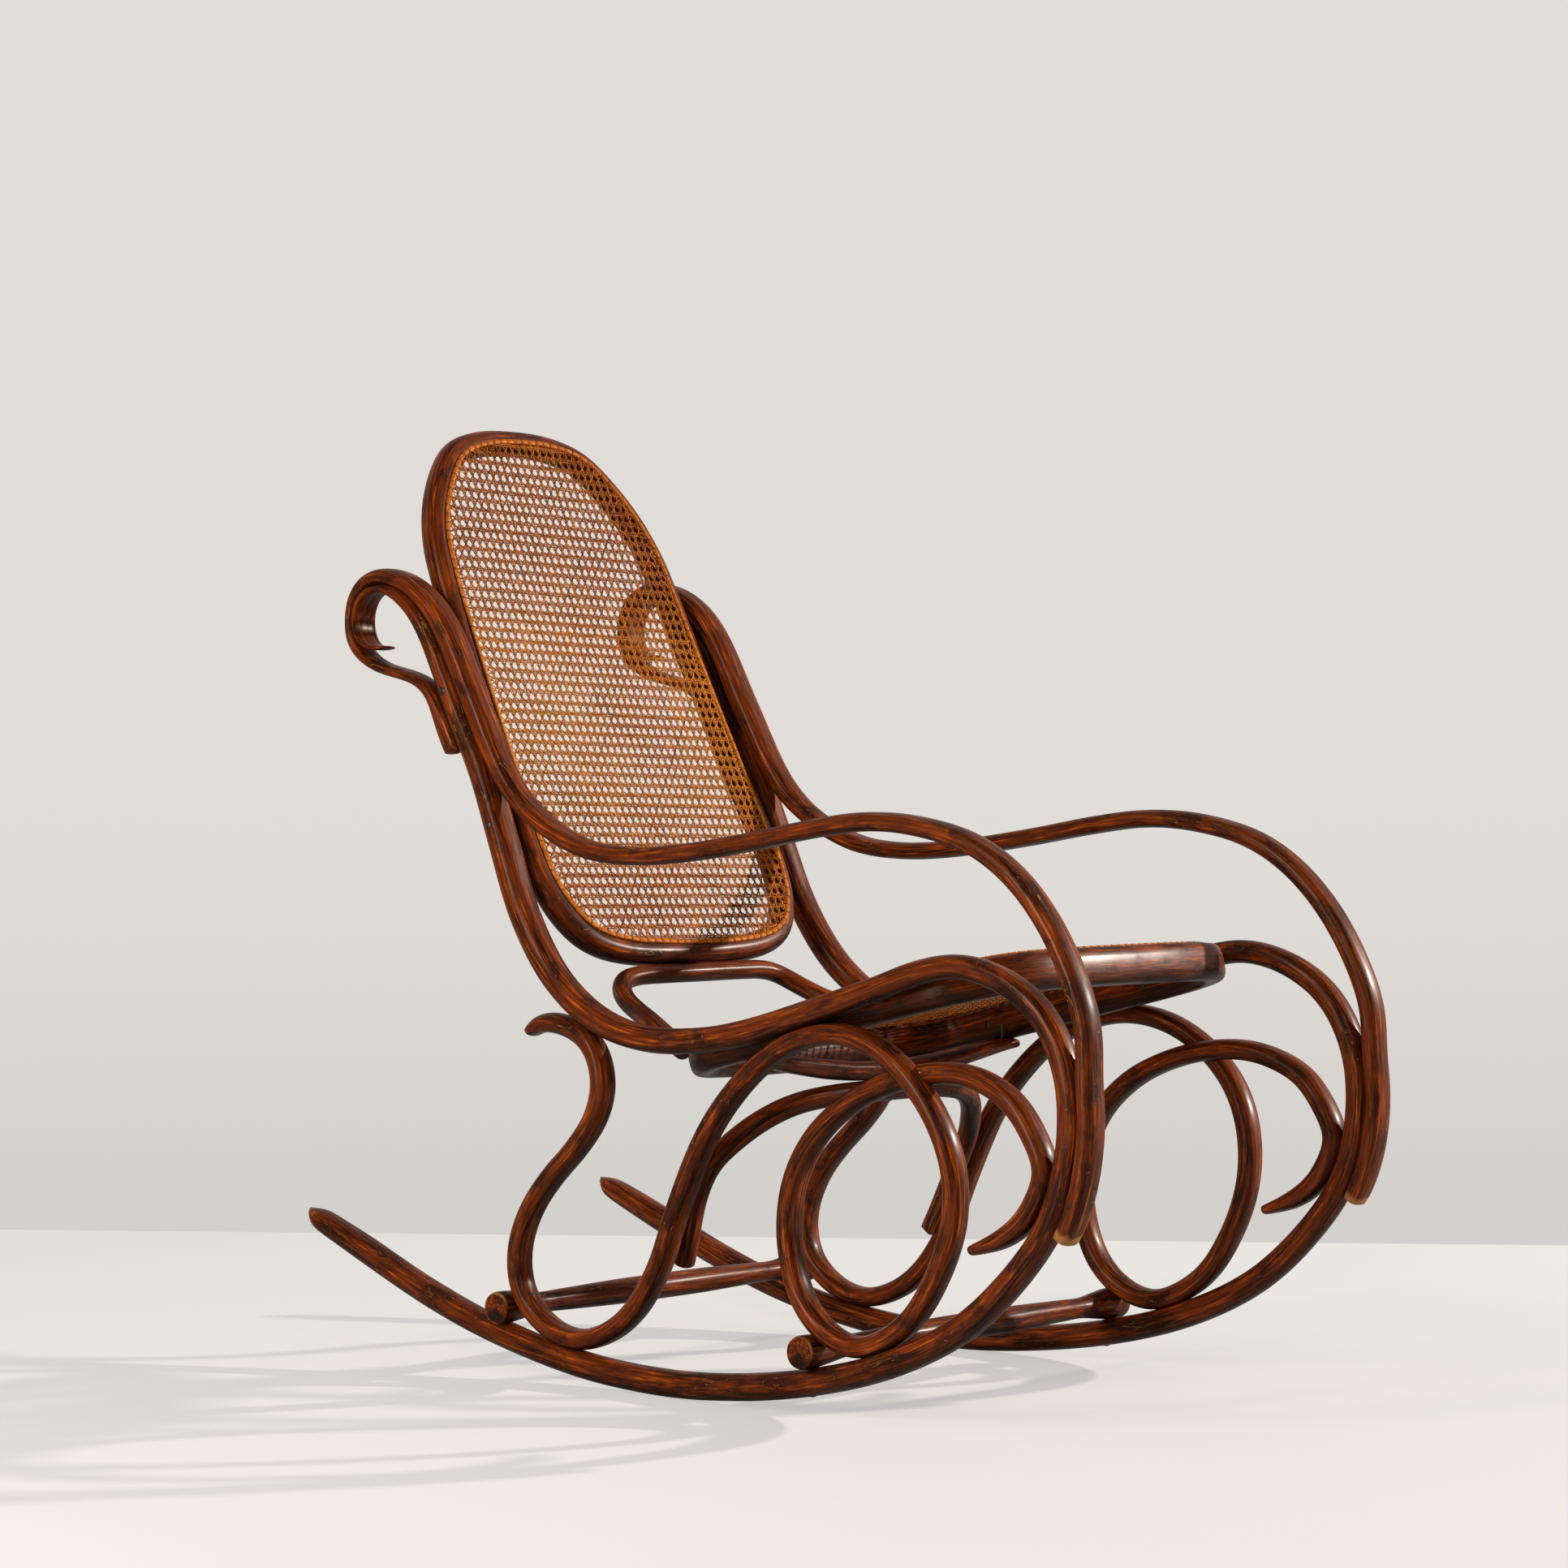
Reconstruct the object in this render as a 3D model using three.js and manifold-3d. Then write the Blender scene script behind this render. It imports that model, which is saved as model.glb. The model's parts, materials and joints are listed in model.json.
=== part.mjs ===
// Bentwood rocking chair: steam-bent beech rods screwed together, with a caned back and seat.
// Millimetres. X runs forward, Y to the sitter's left, Z up from the floor.
// Tables of knots are in shares: along the chair (of SIDE_REACH), up (of SIDE_RISE), then thickness and width.
import * as THREE from "three";
import { TessellateModifier } from "three/addons/modifiers/TessellateModifier.js";
import { mergeVertices } from "three/addons/utils/BufferGeometryUtils.js";
import Module from "manifold-3d";

const wasm = await Module();
wasm.setup();

// Side frames
const SIDE_REACH = 500; // half of the side frame's length
const SIDE_RISE = 800; // floor to the crown of the rail's curl
const FRAME_WIDTH = 490; // between the centre lines of the two runners, at the front
const TOE_IN = 15; // how far each side frame comes in from its front to its rear
const TOE_SHARES = { front: 0.7, over: 1.12 }; // of SIDE_REACH, where that starts and how far back it takes
const LEAN_IN = 15; // how far the top of each side frame comes in besides
const LEAN_SHARES = { low: 0.25, high: 0.9375 }; // of SIDE_RISE, between which it does

// Rods: thickness lies in the side view, width across the chair
const RAIL_THICK = 27;
const RAIL_WIDE = 28;
const ARM_THICK = 19;
const ARM_WIDE = 30;
const SCROLL_THICK = 21;
const SCROLL_WIDE = 28;
const SQUARE_SHARE = 0.42; // flat part of each side of a flattened rod
const RIM_SHARE = 0.6; // the same on the seat rim, which is squarer
const ROUND_SHARE = 0.414; // the same on a round rod, which makes its octagon regular

// Fits
const CLEARANCE = 0.3; // between pieces that touch
const SADDLE = 0.6; // how deep a rod is seated in the flat that its neighbour takes out of it
const OVERRUN = 4; // how far a drill runs out past the surface that it starts from

// Back
const RING_ROD = 28;
const RING_LENGTH = 611; // between the centre lines of its foot and its crown
const RING_DISH = 8; // how far its middle is bent back
const RING_BELOW = 149; // from its lower joint down to its foot
const RING_LOW_SHARE = 0.7; // heights of its joints with the rails, of SIDE_RISE
const RING_HIGH_SHARE = 0.875;
const RING_LOW_FORWARD = 7; // from the rail's centre line to the ring's chord at the lower joint
const RING_HIGH_FORWARD = 10; // and at the upper one
const HOOP_ROD = 20;
const HOOP_INSET = 16; // from the centre line of the seat rim in to the ends of the hoop's legs

// Seat
const SEAT_THICK = 27; // of its rim, across
const SEAT_TALL = 38;
const SEAT_DEPTH = 436; // between the centre lines of its rear and its front
const SEAT_REAR_SHARE = -0.103; // of SIDE_REACH, where its rear centre line lies
const SEAT_REAR_JOINT_SHARE = 0.792; // of the way from there to the bow, its rear joint with each rail
const SEAT_FRONT_JOINT_SHARE = 0.87; // of its depth, its front joint with each rail
const SEAT_DROPS = [6, 11]; // how far its centre line lies under the rail's there

// Cane
const CANE_THICK = 2;
const CANE_PITCH = 57;
const CANE_HOLE = 24; // half diagonal of a hole
const CANE_MARGIN = 38; // from the edge of the net to the centre of its outermost holes
const CANE_FACET_SHARE = 2; // longest edge of a facet of the net, of CANE_PITCH
const BINDER_WIDE = 6;
const BINDER_THICK = 2.5;

// Under the seat
const STRETCHER_OVERHANG = 21; // how far it runs out past the runners' centre lines
const STRETCHER_END = 33; // diameter
const STRETCHER_SHARES = { rear: -0.48, front: 0.35 }; // of SIDE_REACH
const ARCH_ROD = 22;
const BOW_THICK = 20;
const BOW_WIDE = 24;

// Screws
const SCREW_HEAD = 10; // diameter
const SCREW_SHANK = 4.6; // diameter
const SCREW_DOME = 2.2; // height of the head
const SCREW_POINT = 4; // length of the point
const SCREW_SUNK = 1.2; // how far the underside of a head lies below the surface
const SCREW_DEEP = 4.5; // the same for the heads under the runners
const SCREW_BITE_SHARE = 0.35; // how far past the middle of the second rod it goes, of half its thickness
const SCREW_SHORT_SHARE = -0.35; // the same in a stretcher, where two screws come together
const SCREW_SIDES = 6;

// Fineness of the rods
const STEP_LENGTH = 115; // longest straight facet
const STEP_TURN = 0.36; // radians that a rod may turn between two rings
const SAMPLES = 900; // points that a centre line is measured on

// Side rail: runner, front rise, seat rail and back upright in one length, ending in a flat curl.
const railShares = [
  [-1.068, 0.185, 0.3, 0.7],
  [-1.033, 0.176, 0.85, 0.93],
  [-0.899, 0.142, 1, 0.96],
  [-0.707, 0.093, 1, 0.96],
  [-0.517, 0.055, 1, 0.96],
  [-0.276, 0.0239, 1, 0.96],
  [-0.056, 0.0142, 1, 0.96],
  [0.129, 0.0187, 1, 0.96],
  [0.352, 0.0382, 1, 0.96],
  [0.551, 0.0718, 1, 0.96],
  [0.724, 0.1245, 0.98, 0.96],
  [0.853, 0.1955, 0.95, 0.96],
  [0.925, 0.2562, 0.93, 0.96],
  [0.958, 0.3195, 0.92, 0.96],
  [0.966, 0.368, 0.92, 0.96],
  [0.957, 0.42, 0.92, 0.97],
  [0.918, 0.473, 0.9, 0.98],
  [0.865, 0.507, 0.88, 1],
  [0.782, 0.533, 0.87, 1],
  [0.694, 0.5426, 0.87, 1.02],
  [0.606, 0.534, 0.88, 1.05],
  [0.5, 0.512, 0.9, 1.07],
  [0.34, 0.482, 0.93, 1.07],
  [0.17, 0.4529, 0.95, 1.07],
  [0.04, 0.4399, 0.95, 1.07],
  [-0.104, 0.4387, 0.96, 1.07],
  [-0.236, 0.4595, 0.98, 1.1],
  [-0.352, 0.5076, 1, 1.13],
  [-0.447, 0.5867, 1.04, 1.17],
  [-0.518, 0.6876, 1.01, 1.2],
  [-0.578, 0.7745, 0.97, 1.21],
  [-0.642, 0.8458, 0.92, 1.21],
  [-0.702, 0.9195, 0.84, 1.21],
  [-0.736, 0.9564, 0.74, 1.21],
  [-0.78, 0.9882, 0.62, 1.21],
  [-0.834, 1.0095, 0.46, 1.22],
  [-0.87, 1.0152, 0.34, 1.23],
  [-0.904, 1.0111, 0.28, 1.23],
  [-0.93, 0.995, 0.25, 1.23],
  [-0.938, 0.971, 0.22, 1.23],
  [-0.926, 0.9457, 0.2, 1.2],
  [-0.892, 0.9343, 0.18, 1.1],
  [-0.857, 0.937, 0.16, 0.9],
];

// Arm: a foot on the back of the upright, a tail that follows the rail's curl from outside, and
// the armrest that comes down the front. The last word names the rod that a knot is seated on.
const armShares = [
  [-0.652, 0.796, 1.2, 0.86, "rail"],
  [-0.672, 0.824, 1.2, 0.9, "rail"],
  [-0.7, 0.852, 0.86, 0.93],
  [-0.72, 0.8735, 0.68, 0.93],
  [-0.758, 0.891, 0.64, 0.93],
  [-0.806, 0.9, 0.63, 0.95],
  [-0.872, 0.9095, 0.63, 0.98],
  [-0.918, 0.923, 0.63, 1],
  [-0.951, 0.945, 0.65, 1.03],
  [-0.962, 0.973, 0.7, 1.05, "rail"],
  [-0.948, 1.002, 0.76, 1.07, "rail"],
  [-0.914, 1.023, 0.84, 1.07, "rail"],
  [-0.872, 1.0314, 0.9, 1.07, "rail"],
  [-0.8, 1.022, 1, 1.07, "rail"],
  [-0.732, 0.9925, 1.14, 1.07, "rail"],
  [-0.69, 0.963, 1.2, 1.07, "rail"],
  [-0.655, 0.929, 1.25, 1.07, "rail"],
  [-0.62, 0.8845, 1.26, 1.07, "rail"],
  [-0.582, 0.838, 1.25, 1.07, "rail"],
  [-0.542, 0.7945, 1.18, 1.05, "rail"],
  [-0.5, 0.7565, 1.1, 1.03],
  [-0.451, 0.7265, 1.03, 1],
  [-0.384, 0.6995, 0.98, 1],
  [-0.282, 0.674, 0.97, 1],
  [-0.158, 0.6655, 0.97, 1],
  [-0.016, 0.67, 0.97, 1],
  [0.178, 0.6862, 0.97, 1],
  [0.326, 0.7015, 0.97, 1],
  [0.46, 0.711, 0.98, 1],
  [0.58, 0.7075, 1, 1],
  [0.72, 0.687, 1.02, 1],
  [0.82, 0.651, 1.04, 1],
  [0.902, 0.5985, 1.05, 1],
  [0.963, 0.5365, 1.05, 1],
  [0.998, 0.4775, 1.05, 1],
  [1.012, 0.415, 1.05, 1, "rail"],
  [1.013, 0.37, 1.05, 1, "rail"],
  [1.004, 0.32, 1.05, 1, "rail"],
  [0.985, 0.283, 1.05, 1, "rail"],
  [0.958, 0.247, 1, 1, "rail"],
  [0.944, 0.232, 0.9, 0.95, "rail"],
];

// Scroll: one rod that hooks under the rail, drops in a U, rises under the seat, and makes a loop.
// The fifth number sets a knot outwards (or inwards, below zero) where the rod crosses itself.
const scrollShares = [
  [-0.426, 0.4365, 0.45, 0.8, 0],
  [-0.399, 0.4495, 0.85, 0.95, 0],
  [-0.363, 0.4535, 1, 1, 0],
  [-0.313, 0.4485, 1, 1, 0],
  [-0.271, 0.4365, 1, 1, 0, "rail"],
  [-0.236, 0.417, 1, 1, 0],
  [-0.218, 0.3785, 1, 1, 0],
  [-0.235, 0.338, 1, 1, 0],
  [-0.289, 0.296, 1, 1, 0],
  [-0.357, 0.257, 1, 1, 0],
  [-0.413, 0.2155, 1, 1, 0],
  [-0.445, 0.1715, 1, 1, 0],
  [-0.449, 0.133, 1, 1, 0],
  [-0.425, 0.099, 1, 1, 0, "rear"],
  [-0.364, 0.066, 1, 1, 0],
  [-0.281, 0.0563, 1, 1, 0, "rail"],
  [-0.19, 0.0703, 1, 1, 0],
  [-0.122, 0.102, 1, 1, 0],
  [-0.06, 0.1558, 1, 1, 0],
  [-0.01, 0.2278, 1, 1, 0],
  [0.061, 0.316, 1, 1, 0],
  [0.124, 0.3675, 1, 1, 0],
  [0.214, 0.417, 1, 1, 0],
  [0.314, 0.449, 1, 1, 0, "rail"],
  [0.422, 0.457, 1, 1, 0.25],
  [0.516, 0.4432, 1, 1, 0.8],
  [0.606, 0.407, 1, 1, 1],
  [0.667, 0.3607, 1, 1, 0.8],
  [0.698, 0.3075, 1, 1, 0.3],
  [0.698, 0.246, 1, 1, 0],
  [0.658, 0.1795, 1, 1, 0],
  [0.586, 0.12, 1, 1, 0],
  [0.467, 0.088, 1, 1, 0, "rail"],
  [0.387, 0.1025, 1, 1, 0, "front"],
  [0.323, 0.1367, 1, 1, 0],
  [0.288, 0.207, 1, 1, 0],
  [0.298, 0.274, 1, 1, -0.2],
  [0.342, 0.3267, 1, 1, -0.5],
  [0.424, 0.372, 1, 1, -0.8],
  [0.516, 0.399, 1, 1, -1],
  [0.604, 0.4132, 1, 1, -1],
  [0.698, 0.417, 1, 1, -0.8],
  [0.768, 0.408, 1, 1, -0.4],
  [0.834, 0.387, 1, 1, 0],
  [0.88, 0.3525, 1, 1, 0],
  [0.904, 0.3125, 1, 1, 0, "rail"],
  [0.893, 0.281, 1, 1, 0],
  [0.86, 0.2512, 1, 1, 0],
  [0.81, 0.2295, 0.9, 1, 0],
  [0.736, 0.2125, 0.45, 0.8, 0],
];
const SCROLL_CROSS_SHARE = 0.27; // sideways set of each pass at the crossing, of its width
const SCROLL_SPLIT = 35; // knot at which the second of its two bends starts

// Half outlines of the closed rings: across (of half the width), along (of the length).
const ringShares = [
  [0, 0],
  [0.31, 0.002],
  [0.545, 0.008],
  [0.725, 0.022],
  [0.845, 0.045],
  [0.943, 0.09],
  [0.99, 0.142],
  [1, 0.19],
  [0.997, 0.24],
  [0.975, 0.415],
  [0.947, 0.605],
  [0.922, 0.719],
  [0.895, 0.787],
  [0.822, 0.852],
  [0.692, 0.917],
  [0.52, 0.97],
  [0.285, 0.994],
  [0, 1],
];
const seatShares = [
  [0, 0],
  [0.25, 0.001],
  [0.44, 0.006],
  [0.69, 0.026],
  [0.82, 0.051],
  [0.905, 0.082],
  [0.965, 0.12],
  [0.993, 0.165],
  [1, 0.22],
  [1, 0.45],
  [1, 0.69],
  [0.985, 0.81],
  [0.93, 0.89],
  [0.83, 0.948],
  [0.69, 0.98],
  [0.45, 0.995],
  [0, 1],
];

// Half of the hoop that ties the back ring to the seat rim: across (of half its width at the seat),
// along the chair and down (each from the ring's foot to the rear of the rim), and thickness.
const HOOP_SCREW_SHARE = 0.32; // how far out the hoop is screwed to the ring
const HOOP_LEG_SHARE = 0.1; // how far from its end the screw out of the seat rim meets its leg
const hoopShares = [
  [0, 0, 0, 1],
  [0.32, 0, 0, 1],
  [0.53, 0.005, 0.01, 1],
  [0.645, 0.02, 0.06, 1],
  [0.715, 0.08, 0.15, 1],
  [0.77, 0.19, 0.27, 1],
  [0.81, 0.35, 0.39, 1],
  [0.88, 0.62, 0.54, 1],
  [0.95, 0.92, 0.74, 1],
  [1, 1.12, 0.86, 1],
];

// Half of the arch between the scrolls: across, along the chair, up.
const archShares = [
  [0.945, -0.058, 0.153],
  [0.975, -0.033, 0.193],
  [1, 0.001, 0.2495],
  [0.985, 0.033, 0.287],
  [0.9, 0.07, 0.318],
  [0.79, 0.102, 0.341],
  [0.645, 0.126, 0.3565],
  [0.42, 0.141, 0.3645],
  [0, 0.147, 0.3665],
];
const ARCH_JOINT_SHARES = [0.001, 0.2495]; // where the arch is screwed to the scroll

// Half of the bow on the arch: across, how far down its dip, thickness, width.
const bowShares = [
  [0, 1, 1, 1],
  [0.25, 0.93, 1, 1],
  [0.5, 0.66, 1, 1],
  [0.78, 0.22, 0.85, 1.05],
  [0.94, 0.02, 0.6, 1.25],
  [1.03, 0, 0.5, 1],
];

// Stretcher turned on a lathe: radius (of the end's), distance from the middle (of half the length).
const stretcherShares = [
  [0.82, 0],
  [0.8, 0.28],
  [0.69, 0.6],
  [0.655, 0.74],
  [0.82, 0.83],
  [0.97, 0.91],
  [1, 0.985],
  [0.93, 1],
];

// Materials
function finish(color, roughness) {
  return new THREE.MeshStandardMaterial({ color, roughness, metalness: 0 });
}
const beech = () => finish(0x5a2a17, 0.4);
const cane = () => finish(0xb9742f, 0.6);
const binding = () => finish(0xa8581c, 0.5);
const iron = () => new THREE.MeshStandardMaterial({ color: 0x2c2826, roughness: 0.5, metalness: 0.9 });

// Solids for cutting and joining, and back to geometry.
function solidOf(geometry) {
  const bare = geometry.clone();
  bare.deleteAttribute("normal");
  bare.deleteAttribute("uv");
  const merged = mergeVertices(bare);
  return new wasm.Manifold(
    new wasm.Mesh({
      numProp: 3,
      vertProperties: merged.attributes.position.array,
      triVerts: new Uint32Array(merged.index.array),
    }),
  );
}
function geometryOf(solid) {
  const mesh = solid.getMesh();
  const geometry = new THREE.BufferGeometry();
  geometry.setAttribute("position", new THREE.BufferAttribute(mesh.vertProperties, 3));
  geometry.setIndex(new THREE.BufferAttribute(mesh.triVerts, 1));
  geometry.computeVertexNormals();
  return geometry;
}
function mirrored(geometry) {
  const other = geometry.clone().scale(1, -1, 1);
  const index = other.index.array;
  for (let i = 0; i < index.length; i += 3) [index[i + 1], index[i + 2]] = [index[i + 2], index[i + 1]];
  return other;
}
function cut(solid, geometries) {
  return geometries.reduce((rest, tool) => rest.subtract(solidOf(tool)), solid);
}

// Cross-section of a rod: an octagon whose four main flats lie at the full thickness and width,
// or a rectangle where the flats are the whole sides.
function section(thick, wide, flat) {
  const a = thick / 2;
  const b = wide / 2;
  if (flat === 1) return [[a, b], [-a, b], [-a, -b], [a, -b]];
  return [
    [a, -b * flat],
    [a, b * flat],
    [a * flat, b],
    [-a * flat, b],
    [-a, b * flat],
    [-a, -b * flat],
    [-a * flat, -b],
    [a * flat, -b],
  ];
}

// A rod is measured on many points of its centre line, each with its thickness and width there.
function measure(at, size, closed) {
  const points = [];
  for (let i = 0; i <= SAMPLES; i++) {
    const [thick, wide] = size(i / SAMPLES);
    points.push({ centre: at(i / SAMPLES), thick, wide });
  }
  const ahead = (i, step) => {
    if (closed) return points[(i + step + SAMPLES) % SAMPLES].centre;
    return points[Math.min(Math.max(i + step, 0), SAMPLES)].centre;
  };
  points.forEach((point, i) => {
    point.along = ahead(i, 1).clone().sub(ahead(i, -1)).normalize();
  });
  return points;
}

// Rings are laid closer together where the rod turns.
function ringPlaces(points, first, last) {
  const travel = [0];
  for (let i = first; i < last; i++) {
    const length = points[i].centre.distanceTo(points[i + 1].centre);
    const turn = points[i].along.angleTo(points[i + 1].along);
    travel.push(travel[i - first] + length / STEP_LENGTH + turn / STEP_TURN);
  }
  const count = Math.ceil(travel[last - first]);
  const places = [];
  let i = 0;
  for (let k = 0; k <= count; k++) {
    const goal = (travel[last - first] * k) / count;
    while (i < last - first && travel[i] < goal) i++;
    places.push(first + i);
  }
  return places;
}

// Sweeps the section along the rod. The rod's width lies along the direction across.
function sweep(rod, { grow = 0, first = 0, last = SAMPLES } = {}) {
  const places = ringPlaces(rod.points, first, last);
  if (rod.closed) places.pop();
  const position = [];
  for (const place of places) {
    const { centre, along, thick, wide } = rod.points[place];
    const side = rod.across.clone().addScaledVector(along, -rod.across.dot(along)).normalize();
    const normal = side.clone().cross(along);
    for (const [a, b] of section(thick + 2 * grow, wide + 2 * grow, rod.flat)) {
      const corner = centre.clone().addScaledVector(normal, a).addScaledVector(side, b);
      position.push(corner.x, corner.y, corner.z);
    }
  }
  const sides = section(1, 1, rod.flat).length;
  const rings = places.length;
  const index = [];
  for (let k = 0; k < (rod.closed ? rings : rings - 1); k++) {
    for (let j = 0; j < sides; j++) {
      const a = k * sides + j;
      const b = k * sides + ((j + 1) % sides);
      const c = ((k + 1) % rings) * sides + ((j + 1) % sides);
      const d = ((k + 1) % rings) * sides + j;
      index.push(a, b, c, a, c, d);
    }
  }
  if (!rod.closed) {
    const end = (rings - 1) * sides;
    for (let j = 1; j < sides - 1; j++) {
      index.push(0, j + 1, j);
      index.push(end, end + j, end + j + 1);
    }
  }
  const geometry = new THREE.BufferGeometry();
  geometry.setAttribute("position", new THREE.Float32BufferAttribute(position, 3));
  geometry.setIndex(index);
  return geometry;
}

// Value of a column of a knot table between two knots.
function between(knots, column, t) {
  const place = Math.min(t * (knots.length - 1), knots.length - 1 - Number.EPSILON);
  const low = Math.floor(place);
  const high = Math.min(low + 1, knots.length - 1);
  return THREE.MathUtils.lerp(knots[low][column], knots[high][column], place - low);
}
function smoothCurve(points, closed = false) {
  return new THREE.CatmullRomCurve3(points, closed, "centripetal");
}

// Half the distance between the side frames at a place in the side view.
function frameHalf(x, z) {
  const toe = THREE.MathUtils.smoothstep(TOE_SHARES.front - x / SIDE_REACH, 0, TOE_SHARES.over);
  const lean = THREE.MathUtils.smoothstep(z / SIDE_RISE, LEAN_SHARES.low, LEAN_SHARES.high);
  return FRAME_WIDTH / 2 - TOE_IN * toe - LEAN_IN * lean;
}

// Nearest measured point of a rod to a place in the side view.
function nearest(rod, x, z) {
  let best = rod.points[0];
  let least = Infinity;
  for (const point of rod.points) {
    const distance = Math.hypot(point.centre.x - x, point.centre.z - z);
    if (distance < least) [least, best] = [distance, point];
  }
  return best;
}

// Moves a place in the side view straight towards or away from a rod until the two touch.
function seated(x, z, half, rod) {
  const foot = nearest(rod, x, z);
  const away = new THREE.Vector2(x - foot.centre.x, z - foot.centre.z).normalize();
  away.multiplyScalar(foot.thick / 2 + half - SADDLE);
  return [foot.centre.x + away.x, foot.centre.z + away.y];
}

// A rod of the side frame, from its table of knots. It leans with the frame.
function sideRod(knots, thick, wide, seats = {}, crossing = 0) {
  const places = knots.map((knot) => {
    const [x, z] = [knot[0] * SIDE_REACH, knot[1] * SIDE_RISE];
    const seat = seats[knot[knot.length - 1]];
    const [seatX, seatZ] = seat ? seated(x, z, (knot[2] * thick) / 2, seat) : [x, z];
    return new THREE.Vector3(seatX, 0, seatZ);
  });
  const curve = smoothCurve(places);
  const at = (t) => {
    const point = curve.getPoint(t);
    point.y = frameHalf(point.x, point.z) + (crossing ? crossing * between(knots, 4, t) : 0);
    return point;
  };
  const size = (t) => [thick * between(knots, 2, t), wide * between(knots, 3, t)];
  return {
    points: measure(at, size, false),
    across: new THREE.Vector3(0, 1, 0),
    flat: SQUARE_SHARE,
    closed: false,
  };
}

const rail = sideRod(railShares, RAIL_THICK, RAIL_WIDE);

// Each stretcher lies on the runner: in the side view it is a round of its own.
function stretcherSeat(share) {
  const x = share * SIDE_REACH;
  const runner = nearest(rail, x, 0);
  const [seatX, seatZ] = seated(x, runner.centre.z + RAIL_THICK, STRETCHER_END / 2, rail);
  const end = runner.centre.y + STRETCHER_OVERHANG;
  return { end, points: [{ centre: new THREE.Vector3(seatX, 0, seatZ), thick: STRETCHER_END }] };
}
const stretcherSeats = {
  rear: stretcherSeat(STRETCHER_SHARES.rear),
  front: stretcherSeat(STRETCHER_SHARES.front),
};

const arm = sideRod(armShares, ARM_THICK, ARM_WIDE, { rail });
const scroll = sideRod(
  scrollShares,
  SCROLL_THICK,
  SCROLL_WIDE,
  { rail, rear: stretcherSeats.rear, front: stretcherSeats.front },
  SCROLL_CROSS_SHARE * SCROLL_WIDE,
);

// A plane across the chair, from a point of its middle line and the direction that it runs up in.
// A dished one is bent back by dish in the middle of its length, and not at its ends.
function plane(origin, up, dish = 0, length = 1) {
  const normal = new THREE.Vector3(0, 1, 0).cross(up).normalize();
  const back = (share) => dish * (1 - (2 * share - 1) ** 2);
  return {
    up,
    normal,
    dish,
    at: (y, along) =>
      origin.clone().addScaledVector(up, along).addScaledVector(normal, -back(along / length)).setY(y),
  };
}
function mirroredOutline(shares, halfAt, length) {
  const right = shares.map(([y, along]) => [y * halfAt(along * length), along * length]);
  const left = right.slice(1, -1).reverse().map(([y, along]) => [-y, along]);
  return right.concat(left);
}
function closedRod(base, outline, thick, wide, flat, lift = 0) {
  const knots = outline.map(([y, along]) => base.at(y, along).addScaledVector(base.normal, lift));
  const curve = smoothCurve(knots, true);
  return {
    points: measure((t) => curve.getPoint(t), () => [thick, wide], true),
    across: base.normal,
    flat,
    closed: true,
  };
}
function openRod(knots, size, across, flat) {
  const curve = smoothCurve(knots);
  return { points: measure((t) => curve.getPoint(t), size, false), across, flat, closed: false };
}

// Point of the rail's upright, which rises without a turn back, at a height.
function uprightAt(z) {
  const start = rail.points.findLastIndex((point) => point.centre.x > SEAT_REAR_SHARE * SIDE_REACH);
  return rail.points.slice(start).find((point) => point.centre.z >= z);
}

// Back ring: its plane passes both rails where it is screwed to them.
const lowJoint = uprightAt(RING_LOW_SHARE * SIDE_RISE);
const highJoint = uprightAt(RING_HIGH_SHARE * SIDE_RISE);
const ringLow = lowJoint.centre.clone().setY(0);
ringLow.x += RING_LOW_FORWARD;
const ringHigh = highJoint.centre.clone().setY(0);
ringHigh.x += RING_HIGH_FORWARD;
const ringUp = ringHigh.clone().sub(ringLow).normalize();
const ringStart = ringLow.clone().addScaledVector(ringUp, -RING_BELOW);
const ringPlane = plane(ringStart, ringUp, RING_DISH, RING_LENGTH);
const insideRail = (joint, thick) => joint.centre.y - joint.wide / 2 - thick / 2 + SADDLE;
const ringOutline = mirroredOutline(ringShares, () => insideRail(lowJoint, RING_ROD), RING_LENGTH);
const ring = closedRod(ringPlane, ringOutline, RING_ROD, RING_ROD, ROUND_SHARE);

// Seat rim: its plane hangs a little under the two rails and slopes down to the rear, and it widens
// to the front as the rails do.
const seatRear = SEAT_REAR_SHARE * SIDE_REACH;
const archCrown = archShares[archShares.length - 1][1] * SIDE_REACH;
const seatReaches = [SEAT_REAR_JOINT_SHARE * (archCrown - seatRear), SEAT_FRONT_JOINT_SHARE * SEAT_DEPTH];
const seatJoints = seatReaches.map((reach, i) => {
  const x = seatRear + reach;
  const under = nearest({ points: rail.points.slice(SAMPLES / 2) }, x, SIDE_RISE / 2);
  const centre = under.centre.clone().setY(0);
  centre.z -= SEAT_DROPS[i];
  return { rail: under, centre };
});
const seatForward = seatJoints[1].centre.clone().sub(seatJoints[0].centre).normalize();
const seatBehind = (seatJoints[0].centre.x - seatRear) / seatForward.x;
const seatPlane = plane(seatJoints[0].centre.clone().addScaledVector(seatForward, -seatBehind), seatForward);
seatPlane.normal.negate();
function seatHalf(along) {
  const [rear, front] = seatJoints.map((joint) => insideRail(joint.rail, SEAT_THICK));
  const span = seatJoints[1].centre.distanceTo(seatJoints[0].centre);
  return THREE.MathUtils.lerp(rear, front, (along - seatBehind) / span);
}
const seatOutline = mirroredOutline(seatShares, seatHalf, SEAT_DEPTH);
const seat = closedRod(seatPlane, seatOutline, SEAT_THICK, SEAT_TALL, RIM_SHARE);

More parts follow.
